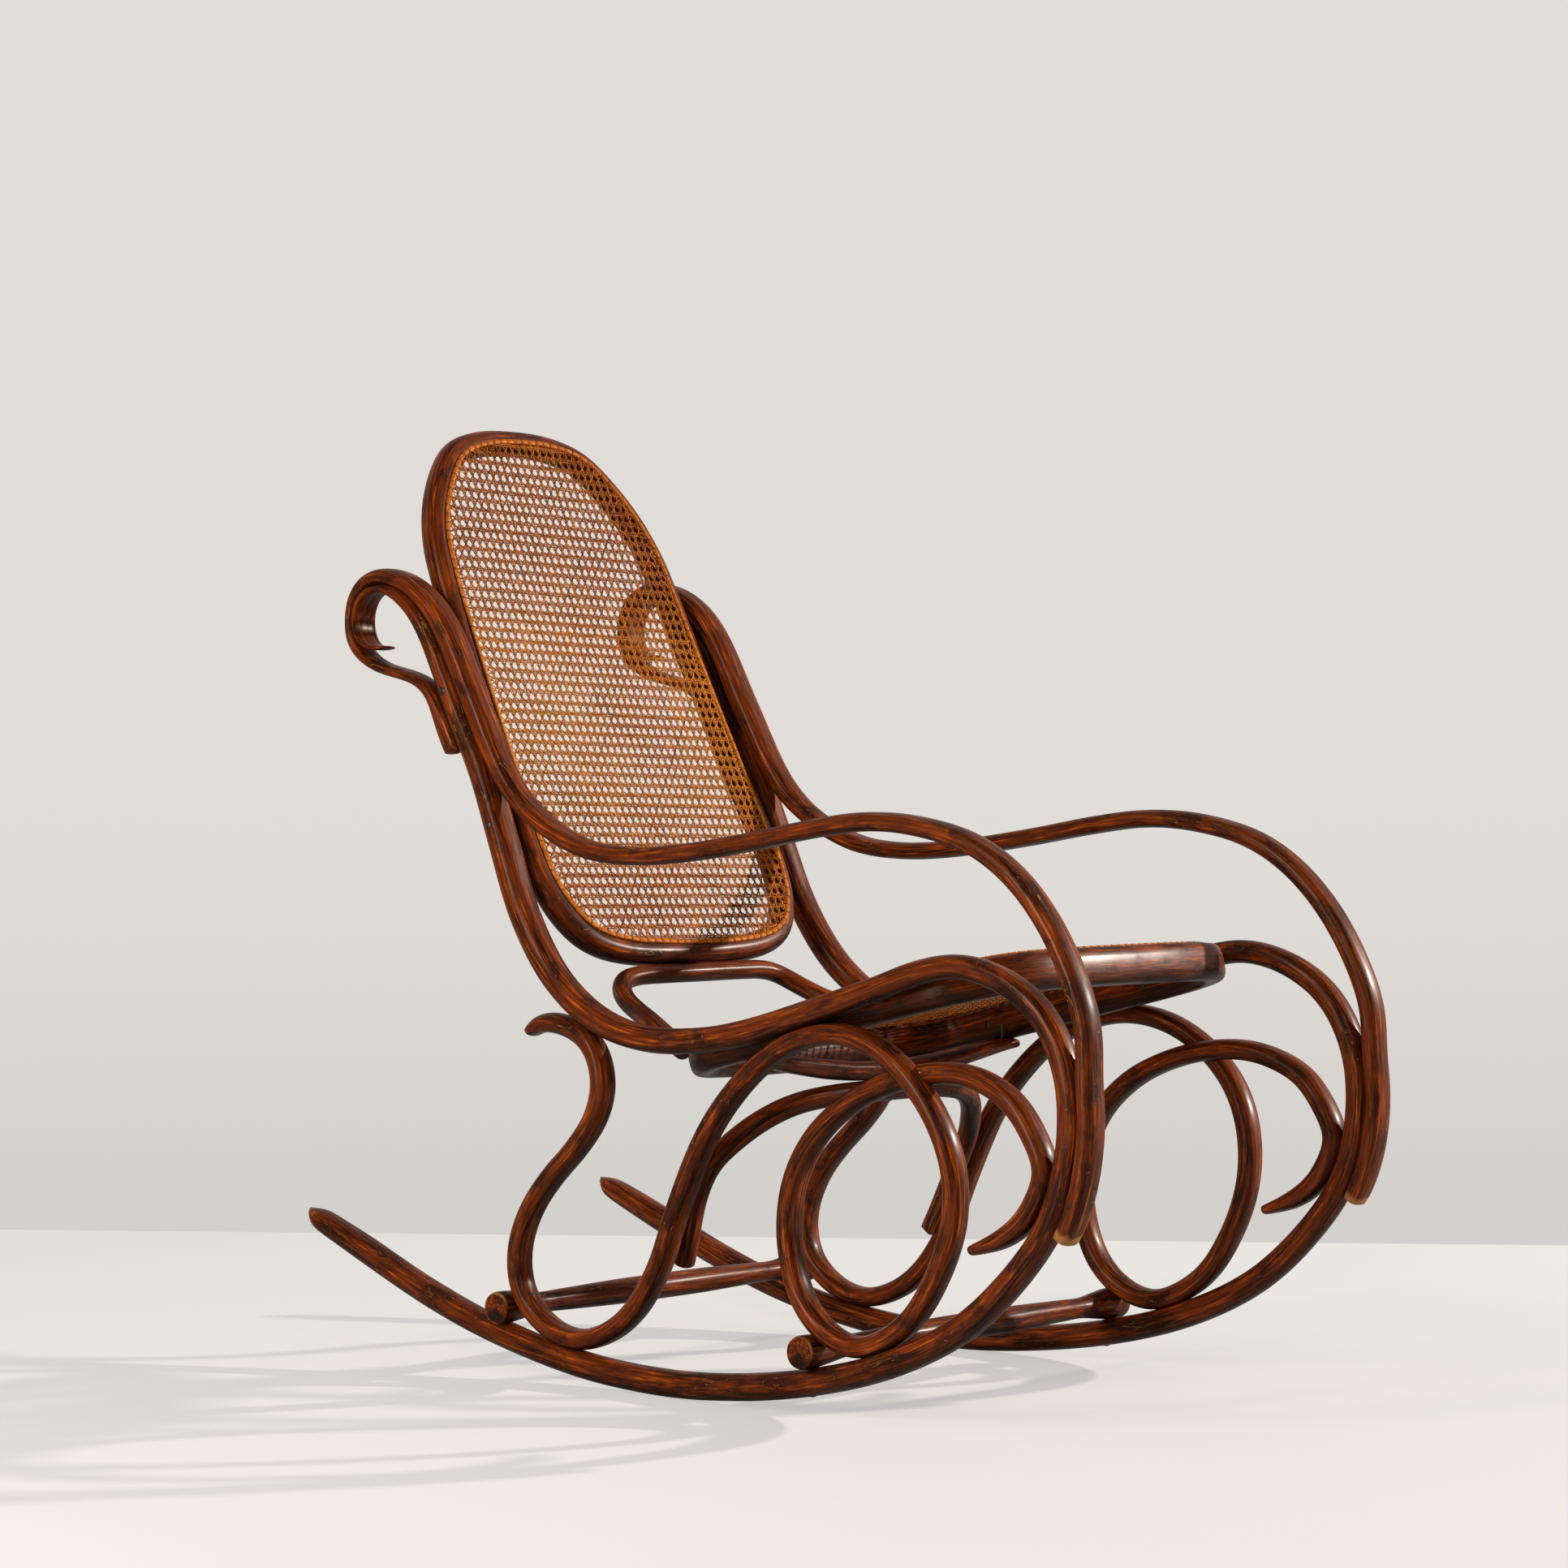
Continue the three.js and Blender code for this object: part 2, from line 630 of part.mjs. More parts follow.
// Hoop: its bar lies under the foot of the ring, its legs run down and forward to the seat's rear.
const hoopTop = ringPlane.at(0, -(RING_ROD + HOOP_ROD) / 2 + SADDLE);
const hoopRun = seatPlane.at(0, 0).sub(hoopTop);
const hoopAcross = new THREE.Vector3(0, 1, 0).cross(hoopRun).normalize();
function mirroredKnots(half) {
  const other = half.slice(1).reverse().map((knot) => knot.clone().setY(-knot.y));
  return other.concat(half);
}
const mirroredRows = (rows) => rows.slice(1).reverse().concat(rows);
const hoopHalf = seatHalf(0) - HOOP_INSET;
const hoopKnots = hoopShares.map(
  ([y, along, down]) =>
    new THREE.Vector3(hoopTop.x + along * hoopRun.x, y * hoopHalf, hoopTop.z + down * hoopRun.z),
);
const hoopRows = mirroredRows(hoopShares);
const hoop = openRod(
  mirroredKnots(hoopKnots),
  (t) => [HOOP_ROD * between(hoopRows, 3, t), HOOP_ROD * between(hoopRows, 3, t)],
  hoopAcross,
  ROUND_SHARE,
);

// Arch: its legs stand against the inner faces of the scrolls.
const archJoint = nearest(scroll, ARCH_JOINT_SHARES[0] * SIDE_REACH, ARCH_JOINT_SHARES[1] * SIDE_RISE);
const archHalf = archJoint.centre.y - (SCROLL_WIDE + ARCH_ROD) / 2 + SADDLE;
const archKnots = archShares.map(
  ([y, along, up]) => new THREE.Vector3(along * SIDE_REACH, y * archHalf, up * SIDE_RISE),
);
const archTop = archKnots[archKnots.length - 1];
const arch = openRod(
  mirroredKnots(archKnots.slice().reverse()),
  () => [ARCH_ROD, ARCH_ROD],
  new THREE.Vector3(1, 0, 0),
  ROUND_SHARE,
);

// Bow: rests on the arch in the middle and is screwed up into the seat rim at both ends.
const bowAlong = (archTop.x - seatPlane.at(0, 0).x) / seatForward.x;
const bowEndTop = seatPlane.at(0, bowAlong).addScaledVector(seatPlane.normal, -SEAT_TALL / 2).z;
const bowEnd = bowEndTop - (BOW_THICK * bowShares[4][2]) / 2 + SADDLE;
const bowMiddle = archTop.z + (ARCH_ROD + BOW_THICK) / 2 - SADDLE;
const bowKnots = bowShares.map(([y, down]) => {
  const z = THREE.MathUtils.lerp(bowEnd, bowMiddle, down);
  return new THREE.Vector3(archTop.x, y * seatHalf(bowAlong), z);
});
const bowRows = mirroredRows(bowShares);
const bow = openRod(
  mirroredKnots(bowKnots),
  (t) => [BOW_THICK * between(bowRows, 2, t), BOW_WIDE * between(bowRows, 3, t)],
  new THREE.Vector3(1, 0, 0),
  SQUARE_SHARE,
);

// Stretcher: turned about its own axis, which lies across the chair.
const STRETCHER_SIDES = 12;
function turnedStretcher({ end, points }) {
  const half = stretcherShares.map(([r, y]) => [(r * STRETCHER_END) / 2, y * end]);
  const other = half.slice(1).reverse().map(([r, y]) => [r, -y]);
  const profile = [[0, -end], ...other, ...half, [0, end]].map(([r, y]) => new THREE.Vector2(r, y));
  const geometry = new THREE.LatheGeometry(profile, STRETCHER_SIDES);
  return geometry.translate(points[0].centre.x, 0, points[0].centre.z);
}

// Cane: a flat net with diamond holes in staggered rows, laid over the rod that it is tied to.
function caneNet(base, outline, lift) {
  const edge = smoothCurve(outline.map(([y, along]) => new THREE.Vector3(y, along, 0)), true);
  const border = edge.getSpacedPoints(44).slice(0, -1).map((p) => new THREE.Vector2(p.x, p.y));
  const shape = new THREE.Shape(border);
  const box = new THREE.Box2().setFromPoints(border);
  const rows = Math.ceil((box.max.y - box.min.y) / (CANE_PITCH / 2));
  for (let row = 0; row <= rows; row++) {
    const v = box.min.y + (row * CANE_PITCH) / 2;
    const shift = row % 2 ? CANE_PITCH / 2 : 0;
    const columns = Math.ceil(box.max.x / CANE_PITCH);
    for (let column = -columns; column <= columns; column++) {
      const middle = new THREE.Vector2(column * CANE_PITCH + shift, v);
      if (!insideBy(border, middle, CANE_MARGIN)) continue;
      const hole = [[1, 0], [0, 1], [-1, 0], [0, -1]].map(
        ([a, b]) => new THREE.Vector2(middle.x + a * CANE_HOLE, middle.y + b * CANE_HOLE),
      );
      shape.holes.push(new THREE.Path(hole));
    }
  }
  const flat = new THREE.ExtrudeGeometry(shape, { depth: CANE_THICK, bevelEnabled: false });
  const geometry = base.dish ? new TessellateModifier(CANE_PITCH * CANE_FACET_SHARE).modify(flat) : flat;
  const hand = new THREE.Vector3(0, 1, 0).cross(base.up).dot(base.normal);
  const position = geometry.attributes.position;
  for (let i = 0; i < position.count; i++) {
    const [y, along, depth] = [position.getX(i), position.getY(i), position.getZ(i)];
    const place = base.at(Math.sign(hand) * y, along).addScaledVector(base.normal, lift + depth);
    position.setXYZ(i, place.x, place.y, place.z);
  }
  geometry.computeVertexNormals();
  return geometry;
}
function insideBy(border, point, margin) {
  let inside = false;
  let closest = Infinity;
  border.forEach((a, i) => {
    const b = border[(i + 1) % border.length];
    if (a.y > point.y !== b.y > point.y && point.x < ((b.x - a.x) * (point.y - a.y)) / (b.y - a.y) + a.x) {
      inside = !inside;
    }
    closest = Math.min(closest, segmentDistance(a, b, point));
  });
  return inside && closest > margin;
}
function segmentDistance(a, b, point) {
  const run = b.clone().sub(a);
  const share = THREE.MathUtils.clamp(point.clone().sub(a).dot(run) / run.lengthSq(), 0, 1);
  return a.clone().addScaledVector(run, share).distanceTo(point);
}
const ringLift = RING_ROD / 2 + CLEARANCE;
const seatLift = SEAT_TALL / 2 + CLEARANCE;
const overCane = CANE_THICK + CLEARANCE + BINDER_THICK / 2;
const backCane = caneNet(ringPlane, ringOutline, ringLift);
const seatCane = caneNet(seatPlane, seatOutline, seatLift);
function binder(base, outline, lift) {
  const pulled = outline.map(([y, along]) => [y, along]);
  return closedRod(base, pulled, BINDER_WIDE, BINDER_THICK, 1, lift + overCane);
}
const backBinder = binder(ringPlane, ringOutline, ringLift);
const seatBinder = binder(seatPlane, seatOutline, seatLift);

// Screws: a domed head, a shank and a point, turned about the axis. Its drill is grown all round.
function screwTurned(length, grow, run) {
  const profile = [
    [0, -length - grow],
    [SCREW_SHANK / 2 + grow, -length + SCREW_POINT],
    [SCREW_SHANK / 2 + grow, -grow],
    [SCREW_HEAD / 2 + grow, -grow],
    [SCREW_HEAD / 2 + grow, run ? run : SCREW_DOME / 2],
    [0, run ? run : SCREW_DOME],
  ].map(([r, y]) => new THREE.Vector2(r, y));
  return new THREE.LatheGeometry(profile, SCREW_SIDES);
}
// A screw is driven through the first piece into the second, along the line through their centres.
function screwThrough(from, fromHalf, to, toHalf, sunk = SCREW_SUNK, bite = SCREW_BITE_SHARE) {
  const into = to.clone().sub(from).normalize();
  const head = from.clone().addScaledVector(into, sunk - fromHalf);
  const length = head.distanceTo(to) + toHalf * bite;
  const turn = new THREE.Quaternion().setFromUnitVectors(new THREE.Vector3(0, -1, 0), into);
  const drill = screwTurned(length, CLEARANCE, sunk + OVERRUN);
  drill.applyQuaternion(turn).translate(head.x, head.y, head.z);
  return { head, turn, shape: screwTurned(length, 0, 0), drill };
}
function sideScrew(first, second, share, sunk, bite) {
  const a = nearest(first, share[0] * SIDE_REACH, share[1] * SIDE_RISE);
  const b = nearest(second, a.centre.x, a.centre.z);
  const to = b.centre.clone();
  if (second.points.length === 1) to.y = a.centre.y;
  return screwThrough(a.centre, a.thick / 2, to, b.thick / 2, sunk, bite);
}
function nearestTo(rod, place) {
  return rod.points.reduce((best, point) =>
    point.centre.distanceTo(place) < best.centre.distanceTo(place) ? point : best,
  );
}
// Across the chair: through the first piece's width into the second.
function crossScrew(first, firstHalf, second, secondHalf) {
  const to = second.clone();
  const from = first.clone();
  to.x = from.x;
  to.z = from.z;
  return screwThrough(from, firstHalf, to, secondHalf);
}

const armRailScrews = {
  upper: sideScrew(rail, arm, [-0.68, 0.9]),
  front_high: sideScrew(rail, arm, [0.966, 0.368]),
  front_low: sideScrew(rail, arm, [0.93, 0.262]),
};
const footScrew = sideScrew(arm, rail, [-0.66, 0.812]);
const scrollRailScrews = {
  rear: sideScrew(scroll, rail, [-0.271, 0.4365]),
  seat: sideScrew(scroll, rail, [0.314, 0.449]),
  front: sideScrew(scroll, rail, [0.904, 0.3125]),
};
const intoStretcher = (rod, end, share, sunk) =>
  sideScrew(rod, stretcherSeats[end], share, sunk, SCREW_SHORT_SHARE);
const stretcherScrews = {
  rear: intoStretcher(scroll, "rear", [-0.425, 0.099], SCREW_SUNK),
  front: intoStretcher(scroll, "front", [0.387, 0.1025], SCREW_SUNK),
};
const runnerScrews = {
  rear: intoStretcher(rail, "rear", [STRETCHER_SHARES.rear, 0.05], SCREW_DEEP),
  front: intoStretcher(rail, "front", [STRETCHER_SHARES.front, 0.04], SCREW_DEEP),
};
const ringSide = (joint) => nearestTo(ring, joint.centre);
const ringScrews = {
  low: crossScrew(lowJoint.centre, lowJoint.wide / 2, ringSide(lowJoint).centre, RING_ROD / 2),
  high: crossScrew(highJoint.centre, highJoint.wide / 2, ringSide(highJoint).centre, RING_ROD / 2),
};
const seatScrews = {};
seatJoints.forEach((joint, i) => {
  const rim = nearestTo(seat, joint.rail.centre).centre.clone();
  rim.x = joint.rail.centre.x;
  rim.z = joint.centre.z;
  const target = joint.rail.centre.clone();
  target.z = rim.z;
  seatScrews[i ? "front" : "rear"] = screwThrough(rim, SEAT_THICK / 2, target, joint.rail.wide / 2);
});
const archFoot = nearestTo(arch, archKnots[2]);
const archScrew = crossScrew(archFoot.centre, ARCH_ROD / 2, archJoint.centre, SCROLL_WIDE / 2);
const hoopBar = nearestTo(hoop, hoopTop.clone().setY(HOOP_SCREW_SHARE * hoopHalf)).centre;
const ringFoot = nearestTo(ring, hoopBar).centre;
const hoopRingScrew = screwThrough(hoopBar, HOOP_ROD / 2, ringFoot, RING_ROD / 2);
const hoopLeg = hoop.points[Math.round(SAMPLES * (1 - HOOP_LEG_SHARE))].centre;
const rimByLeg = nearestTo(seat, hoop.points[SAMPLES].centre).centre;
const hoopLegScrew = screwThrough(rimByLeg, SEAT_THICK / 2, hoopLeg, 0);
const bowTip = nearestTo(bow, bowKnots[4]);
const seatOverBow = bowTip.centre.clone();
seatOverBow.z = bowEndTop + SEAT_TALL / 2;
const bowSeatScrew = screwThrough(bowTip.centre, bowTip.thick / 2, seatOverBow, 0);
const archTopScrew = screwThrough(
  archTop,
  ARCH_ROD / 2,
  new THREE.Vector3(archTop.x, 0, bowMiddle),
  BOW_THICK / 2,
);

// Grown copies of the rods, which cut the seats for their neighbours.
const railTool = sweep(rail, { grow: CLEARANCE });
const scrollSplit = Math.round((SAMPLES * SCROLL_SPLIT) / (scrollShares.length - 1));
const scrollHalves = (grow) => [
  sweep(scroll, { grow, last: scrollSplit }),
  sweep(scroll, { grow, first: scrollSplit }),
];
const scrollTools = scrollHalves(CLEARANCE);
const ringTool = sweep(ring, { grow: CLEARANCE });
const seatTool = sweep(seat, { grow: CLEARANCE });
const archTool = sweep(arch, { grow: CLEARANCE });
const bothSides = (tools) => tools.flatMap((tool) => [tool, mirrored(tool)]);
const drills = (...groups) => groups.flatMap((group) => Object.values(group).map((screw) => screw.drill));

const railSolid = cut(
  solidOf(sweep(rail)),
  drills(armRailScrews, { footScrew }, scrollRailScrews, runnerScrews, ringScrews, seatScrews),
);
const armSolid = cut(solidOf(sweep(arm)), [railTool, ...drills(armRailScrews, { footScrew })]);
const [scrollStart, scrollEnd] = scrollHalves(0).map(solidOf);
const scrollSolid = cut(scrollStart.add(scrollEnd), [
  railTool,
  ...drills(scrollRailScrews, stretcherScrews, { archScrew }),
]);
const ringSolid = cut(solidOf(sweep(ring)), [
  ...bothSides([railTool]),
  ...bothSides(drills(ringScrews, { hoopRingScrew })),
]);
const seatSolid = cut(solidOf(sweep(seat)), [
  ...bothSides([railTool]),
  ...bothSides(drills(seatScrews, { bowSeatScrew, hoopLegScrew })),
]);
const hoopSolid = cut(solidOf(sweep(hoop)), [
  ringTool,
  seatTool,
  ...bothSides(drills({ hoopRingScrew, hoopLegScrew })),
]);
const archSolid = cut(solidOf(sweep(arch)), [
  ...bothSides(scrollTools),
  ...bothSides(drills({ archScrew })),
  archTopScrew.drill,
]);
const bowSolid = cut(solidOf(sweep(bow)), [
  seatTool,
  archTool,
  ...bothSides(drills({ bowSeatScrew })),
  archTopScrew.drill,
]);
function stretcherSolid(end) {
  const screws = { scroll: stretcherScrews[end], runner: runnerScrews[end] };
  return cut(solidOf(turnedStretcher(stretcherSeats[end])), [
    ...bothSides([railTool, ...scrollTools]),
    ...bothSides(drills(screws)),
  ]);
}

// The scene: two mirrored side frames and the pieces between them.
const chair = new THREE.Group();
function piece(name, geometry, material, parent = chair) {
  const mesh = new THREE.Mesh(geometry, material);
  mesh.name = name;
  parent.add(mesh);
  return mesh;
}
function fastener(name, screw, parent = chair) {
  const mesh = piece(name, screw.shape, iron(), parent);
  mesh.quaternion.copy(screw.turn);
  mesh.position.copy(screw.head);
}
const sideScrews = {
  arm_upper: armRailScrews.upper,
  arm_front_high: armRailScrews.front_high,
  arm_front_low: armRailScrews.front_low,
  arm_foot: footScrew,
  scroll_rear: scrollRailScrews.rear,
  scroll_seat: scrollRailScrews.seat,
  scroll_front: scrollRailScrews.front,
  stretcher_rear: stretcherScrews.rear,
  stretcher_front: stretcherScrews.front,
  runner_rear: runnerScrews.rear,
  runner_front: runnerScrews.front,
  ring_low: ringScrews.low,
  ring_high: ringScrews.high,
  seat_rear: seatScrews.rear,
  seat_front: seatScrews.front,
  arch_leg: archScrew,
  hoop_bar: hoopRingScrew,
  hoop_leg: hoopLegScrew,
  bow_end: bowSeatScrew,
};
const railShape = geometryOf(railSolid);
const armShape = geometryOf(armSolid);
const scrollShape = geometryOf(scrollSolid);
for (const [side, sign] of [["left", 1], ["right", -1]]) {
  const frame = new THREE.Group();
  frame.scale.y = sign;
  chair.add(frame);
  piece(side + "_rail", railShape, beech(), frame);
  piece(side + "_arm", armShape, beech(), frame);
  piece(side + "_scroll", scrollShape, beech(), frame);
  for (const [place, screw] of Object.entries(sideScrews)) fastener(side + "_screw_" + place, screw, frame);
}
piece("back_ring", geometryOf(ringSolid), beech());
piece("back_cane", backCane, cane());
piece("back_binder", sweep(backBinder), binding());
piece("seat_rim", geometryOf(seatSolid), beech());
piece("seat_cane", seatCane, cane());
piece("seat_binder", sweep(seatBinder), binding());
piece("back_hoop", geometryOf(hoopSolid), beech());
piece("arch", geometryOf(archSolid), beech());
piece("bow", geometryOf(bowSolid), beech());
piece("rear_stretcher", geometryOf(stretcherSolid("rear")), beech());
piece("front_stretcher", geometryOf(stretcherSolid("front")), beech());
fastener("screw_arch_top", archTopScrew);

// The origin is on the floor in the middle of the chair's length.
chair.updateMatrixWorld(true);
const extent = new THREE.Box3().setFromObject(chair);
chair.position.set(-(extent.min.x + extent.max.x) / 2, 0, -extent.min.z);

export default chair;
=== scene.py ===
"""A bentwood rocking chair: steam-bent beech rods screwed together, with a hand-caned back and seat.

Metres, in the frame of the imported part: X runs forward, Y to the sitter's left, Z up from the floor.
"""

import json
import math

import bpy
import numpy as np
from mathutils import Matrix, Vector

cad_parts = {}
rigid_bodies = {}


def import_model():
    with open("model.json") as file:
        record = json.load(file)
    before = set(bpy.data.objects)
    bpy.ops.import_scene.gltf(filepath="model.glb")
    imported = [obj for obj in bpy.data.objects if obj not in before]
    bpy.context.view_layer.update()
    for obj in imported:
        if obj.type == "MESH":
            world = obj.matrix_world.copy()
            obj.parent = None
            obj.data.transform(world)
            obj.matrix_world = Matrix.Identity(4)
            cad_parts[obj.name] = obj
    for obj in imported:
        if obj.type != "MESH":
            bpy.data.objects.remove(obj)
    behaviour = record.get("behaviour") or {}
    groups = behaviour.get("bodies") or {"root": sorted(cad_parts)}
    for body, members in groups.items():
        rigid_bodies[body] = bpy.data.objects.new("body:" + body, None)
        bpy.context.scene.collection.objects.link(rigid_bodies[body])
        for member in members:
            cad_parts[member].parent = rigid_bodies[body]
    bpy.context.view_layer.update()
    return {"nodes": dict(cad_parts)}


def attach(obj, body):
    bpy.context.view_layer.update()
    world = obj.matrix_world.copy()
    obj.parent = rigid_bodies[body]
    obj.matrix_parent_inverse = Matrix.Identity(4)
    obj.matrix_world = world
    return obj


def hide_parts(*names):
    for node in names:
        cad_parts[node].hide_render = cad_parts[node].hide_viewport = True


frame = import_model()

# Side rails. Each is one beech rod, steamed and bent in a mould: runner, front rise, seat rail and
# back upright, ending in a flat curl. The two side frames toe in to the rear and lean in at the top.
SIDE_REACH = 0.5
SIDE_RISE = 0.8
FRAME_WIDTH = 0.49
TOE_IN = 0.015
LEAN_IN = 0.015
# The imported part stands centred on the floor, this far from where its side view was drawn.
SHIFT = np.array([0.01041, 0, 0.00219])
RAIL_THICK = 0.027
RAIL_WIDE = 0.028
SADDLE = 0.0006
ROD_PLACES = 28
WAVE_SHARE = 0.011
WAVE_LENGTHS = (0.11, 0.23, 0.41)
SIDES = {"left": 1, "right": -1}

# Knots: along the chair, up, thickness and width, in shares.
rail_shares = [
    [-1.068, 0.185, 0.3, 0.7], [-1.033, 0.176, 0.85, 0.93], [-0.899, 0.142, 1, 0.96],
    [-0.707, 0.093, 1, 0.96], [-0.517, 0.055, 1, 0.96], [-0.276, 0.0239, 1, 0.96],
    [-0.056, 0.0142, 1, 0.96], [0.129, 0.0187, 1, 0.96], [0.352, 0.0382, 1, 0.96],
    [0.551, 0.0718, 1, 0.96], [0.724, 0.1245, 0.98, 0.96], [0.853, 0.1955, 0.95, 0.96],
    [0.925, 0.2562, 0.93, 0.96], [0.958, 0.3195, 0.92, 0.96], [0.966, 0.368, 0.92, 0.96],
    [0.957, 0.42, 0.92, 0.97], [0.918, 0.473, 0.9, 0.98], [0.865, 0.507, 0.88, 1],
    [0.782, 0.533, 0.87, 1], [0.694, 0.5426, 0.87, 1.02], [0.606, 0.534, 0.88, 1.05],
    [0.5, 0.512, 0.9, 1.07], [0.34, 0.482, 0.93, 1.07], [0.17, 0.4529, 0.95, 1.07],
    [0.04, 0.4399, 0.95, 1.07], [-0.104, 0.4387, 0.96, 1.07], [-0.236, 0.4595, 0.98, 1.1],
    [-0.352, 0.5076, 1, 1.13], [-0.447, 0.5867, 1.04, 1.17], [-0.518, 0.6876, 1.01, 1.2],
    [-0.578, 0.7745, 0.97, 1.21], [-0.642, 0.8458, 0.92, 1.21], [-0.702, 0.9195, 0.84, 1.21],
    [-0.736, 0.9564, 0.74, 1.21], [-0.78, 0.9882, 0.62, 1.21], [-0.834, 1.0095, 0.46, 1.22],
    [-0.87, 1.0152, 0.34, 1.23], [-0.904, 1.0111, 0.28, 1.23], [-0.93, 0.995, 0.25, 1.23],
    [-0.938, 0.971, 0.22, 1.23], [-0.926, 0.9457, 0.2, 1.2], [-0.892, 0.9343, 0.18, 1.1],
    [-0.857, 0.937, 0.16, 0.9],
]


def smooth(x):
    """Rises from 0 to 1 as x does, level at both ends: 3x^2 - 2x^3."""
    x = np.clip(x, 0, 1)
    return x * x * (3 - 2 * x)


def frame_half(x, z):
    """Half the distance between the side frames at a place of the side view."""
    toe = smooth((0.7 - x / SIDE_REACH) / 1.12)
    lean = smooth((z / SIDE_RISE - 0.25) / 0.6875)
    return FRAME_WIDTH / 2 - TOE_IN * toe - LEAN_IN * lean


def curve(knots, count, closed=False):
    """Centripetal Catmull-Rom curve through the knots, at count even steps of the knots' numbering.
    Each span is a cubic whose end slopes follow the square roots of the distances between knots."""
    k = np.asarray(knots, float)
    if closed:
        k = np.vstack([k[-1], k, k[:2]])
    else:
        k = np.vstack([2 * k[0] - k[1], k, 2 * k[-1] - k[-2]])
    spans = len(k) - 3
    t = np.linspace(0, spans, count, endpoint=not closed)
    i = np.minimum(t.astype(int), spans - 1)
    w = (t - i)[:, None]
    a, b, c, d = k[i], k[i + 1], k[i + 2], k[i + 3]
    d0, d1, d2 = (np.sqrt(np.linalg.norm(q - p, axis=1))[:, None] for p, q in ((a, b), (b, c), (c, d)))
    s = ((b - a) / d0 - (c - a) / (d0 + d1) + (c - b) / d1) * d1
    e = ((c - b) / d1 - (d - b) / (d1 + d2) + (d - c) / d2) * d1
    return b + s * w + (3 * (c - b) - 2 * s - e) * w**2 + (2 * (b - c) + s + e) * w**3


def along(points):
    """Distance travelled along a row of points, from its first."""
    return np.concatenate([[0], np.cumsum(np.linalg.norm(np.diff(points, axis=0), axis=1))])


def column(knots, number, count):
    """One column of a knot table, spread evenly over count points."""
    values = np.array([knot[number] for knot in knots], float)
    return np.interp(np.linspace(0, len(values) - 1, count), np.arange(len(values)), values)


def faired(points, sizes, closed=False, spread=0.009, step=0.0045):
    """The points and sizes at even distances, each a bell-weighted mean of its neighbours, so that no
    knot shows as a kink. The two ends stay where they are."""
    s = along(np.vstack([points, points[:1]]) if closed else points)
    both = np.hstack([points, sizes])
    if closed:
        both = np.vstack([both, both[:1]])
    count = int(s[-1] / step)
    even = np.linspace(0, s[-1], count, endpoint=not closed)
    values = np.stack([np.interp(even, s, both[:, j]) for j in range(both.shape[1])], 1)
    reach = int(3 * spread / step)
    bell = np.exp(-0.5 * (np.arange(-reach, reach + 1) * step / spread) ** 2)
    bell /= bell.sum()
    if closed:
        padded = np.vstack([values[-reach:], values, values[:reach]])
    else:
        before = 2 * values[0] - values[reach:0:-1]
        after = 2 * values[-1] - values[-2:-reach - 2:-1]
        padded = np.vstack([before, values, after])
    out = np.stack([np.convolve(padded[:, j], bell, "valid") for j in range(both.shape[1])], 1)
    return out[:, :3], out[:, 3:]


def grid_faces(n, m, closed=True, first=0):
    """Quads between neighbours of an n x m grid, closed in the second direction or not."""
    places = np.arange(m if closed else m - 1)
    i, j = (g.ravel() for g in np.meshgrid(np.arange(n - 1), places, indexing="ij"))
    j1 = (j + 1) % m
    return first + np.stack([i * m + j, i * m + j1, (i + 1) * m + j1, (i + 1) * m + j], 1)


def grid_mesh(name, rings, caps=True, attributes=()):
    """A mesh from a grid of points, rings x places round, with quads between neighbours."""
    n, m = rings.shape[:2]
    faces = grid_faces(n, m).tolist()
    if caps:
        faces += [list(range(m))[::-1], list(range((n - 1) * m, n * m))]
    mesh = bpy.data.meshes.new(name)
    mesh.from_pydata(rings.reshape(-1, 3).tolist(), [], faces)
    mesh.polygons.foreach_set("use_smooth", np.ones(len(mesh.polygons), bool))
    for label, kind, values in attributes:
        layer = mesh.attributes.new(label, kind, "POINT")
        key = "vector" if kind == "FLOAT_VECTOR" else "value"
        layer.data.foreach_set(key, np.asarray(values, np.float32).ravel())
    mesh.validate()
    mesh.update()
    piece = bpy.data.objects.new(name, mesh)
    bpy.context.collection.objects.link(piece)
    return piece


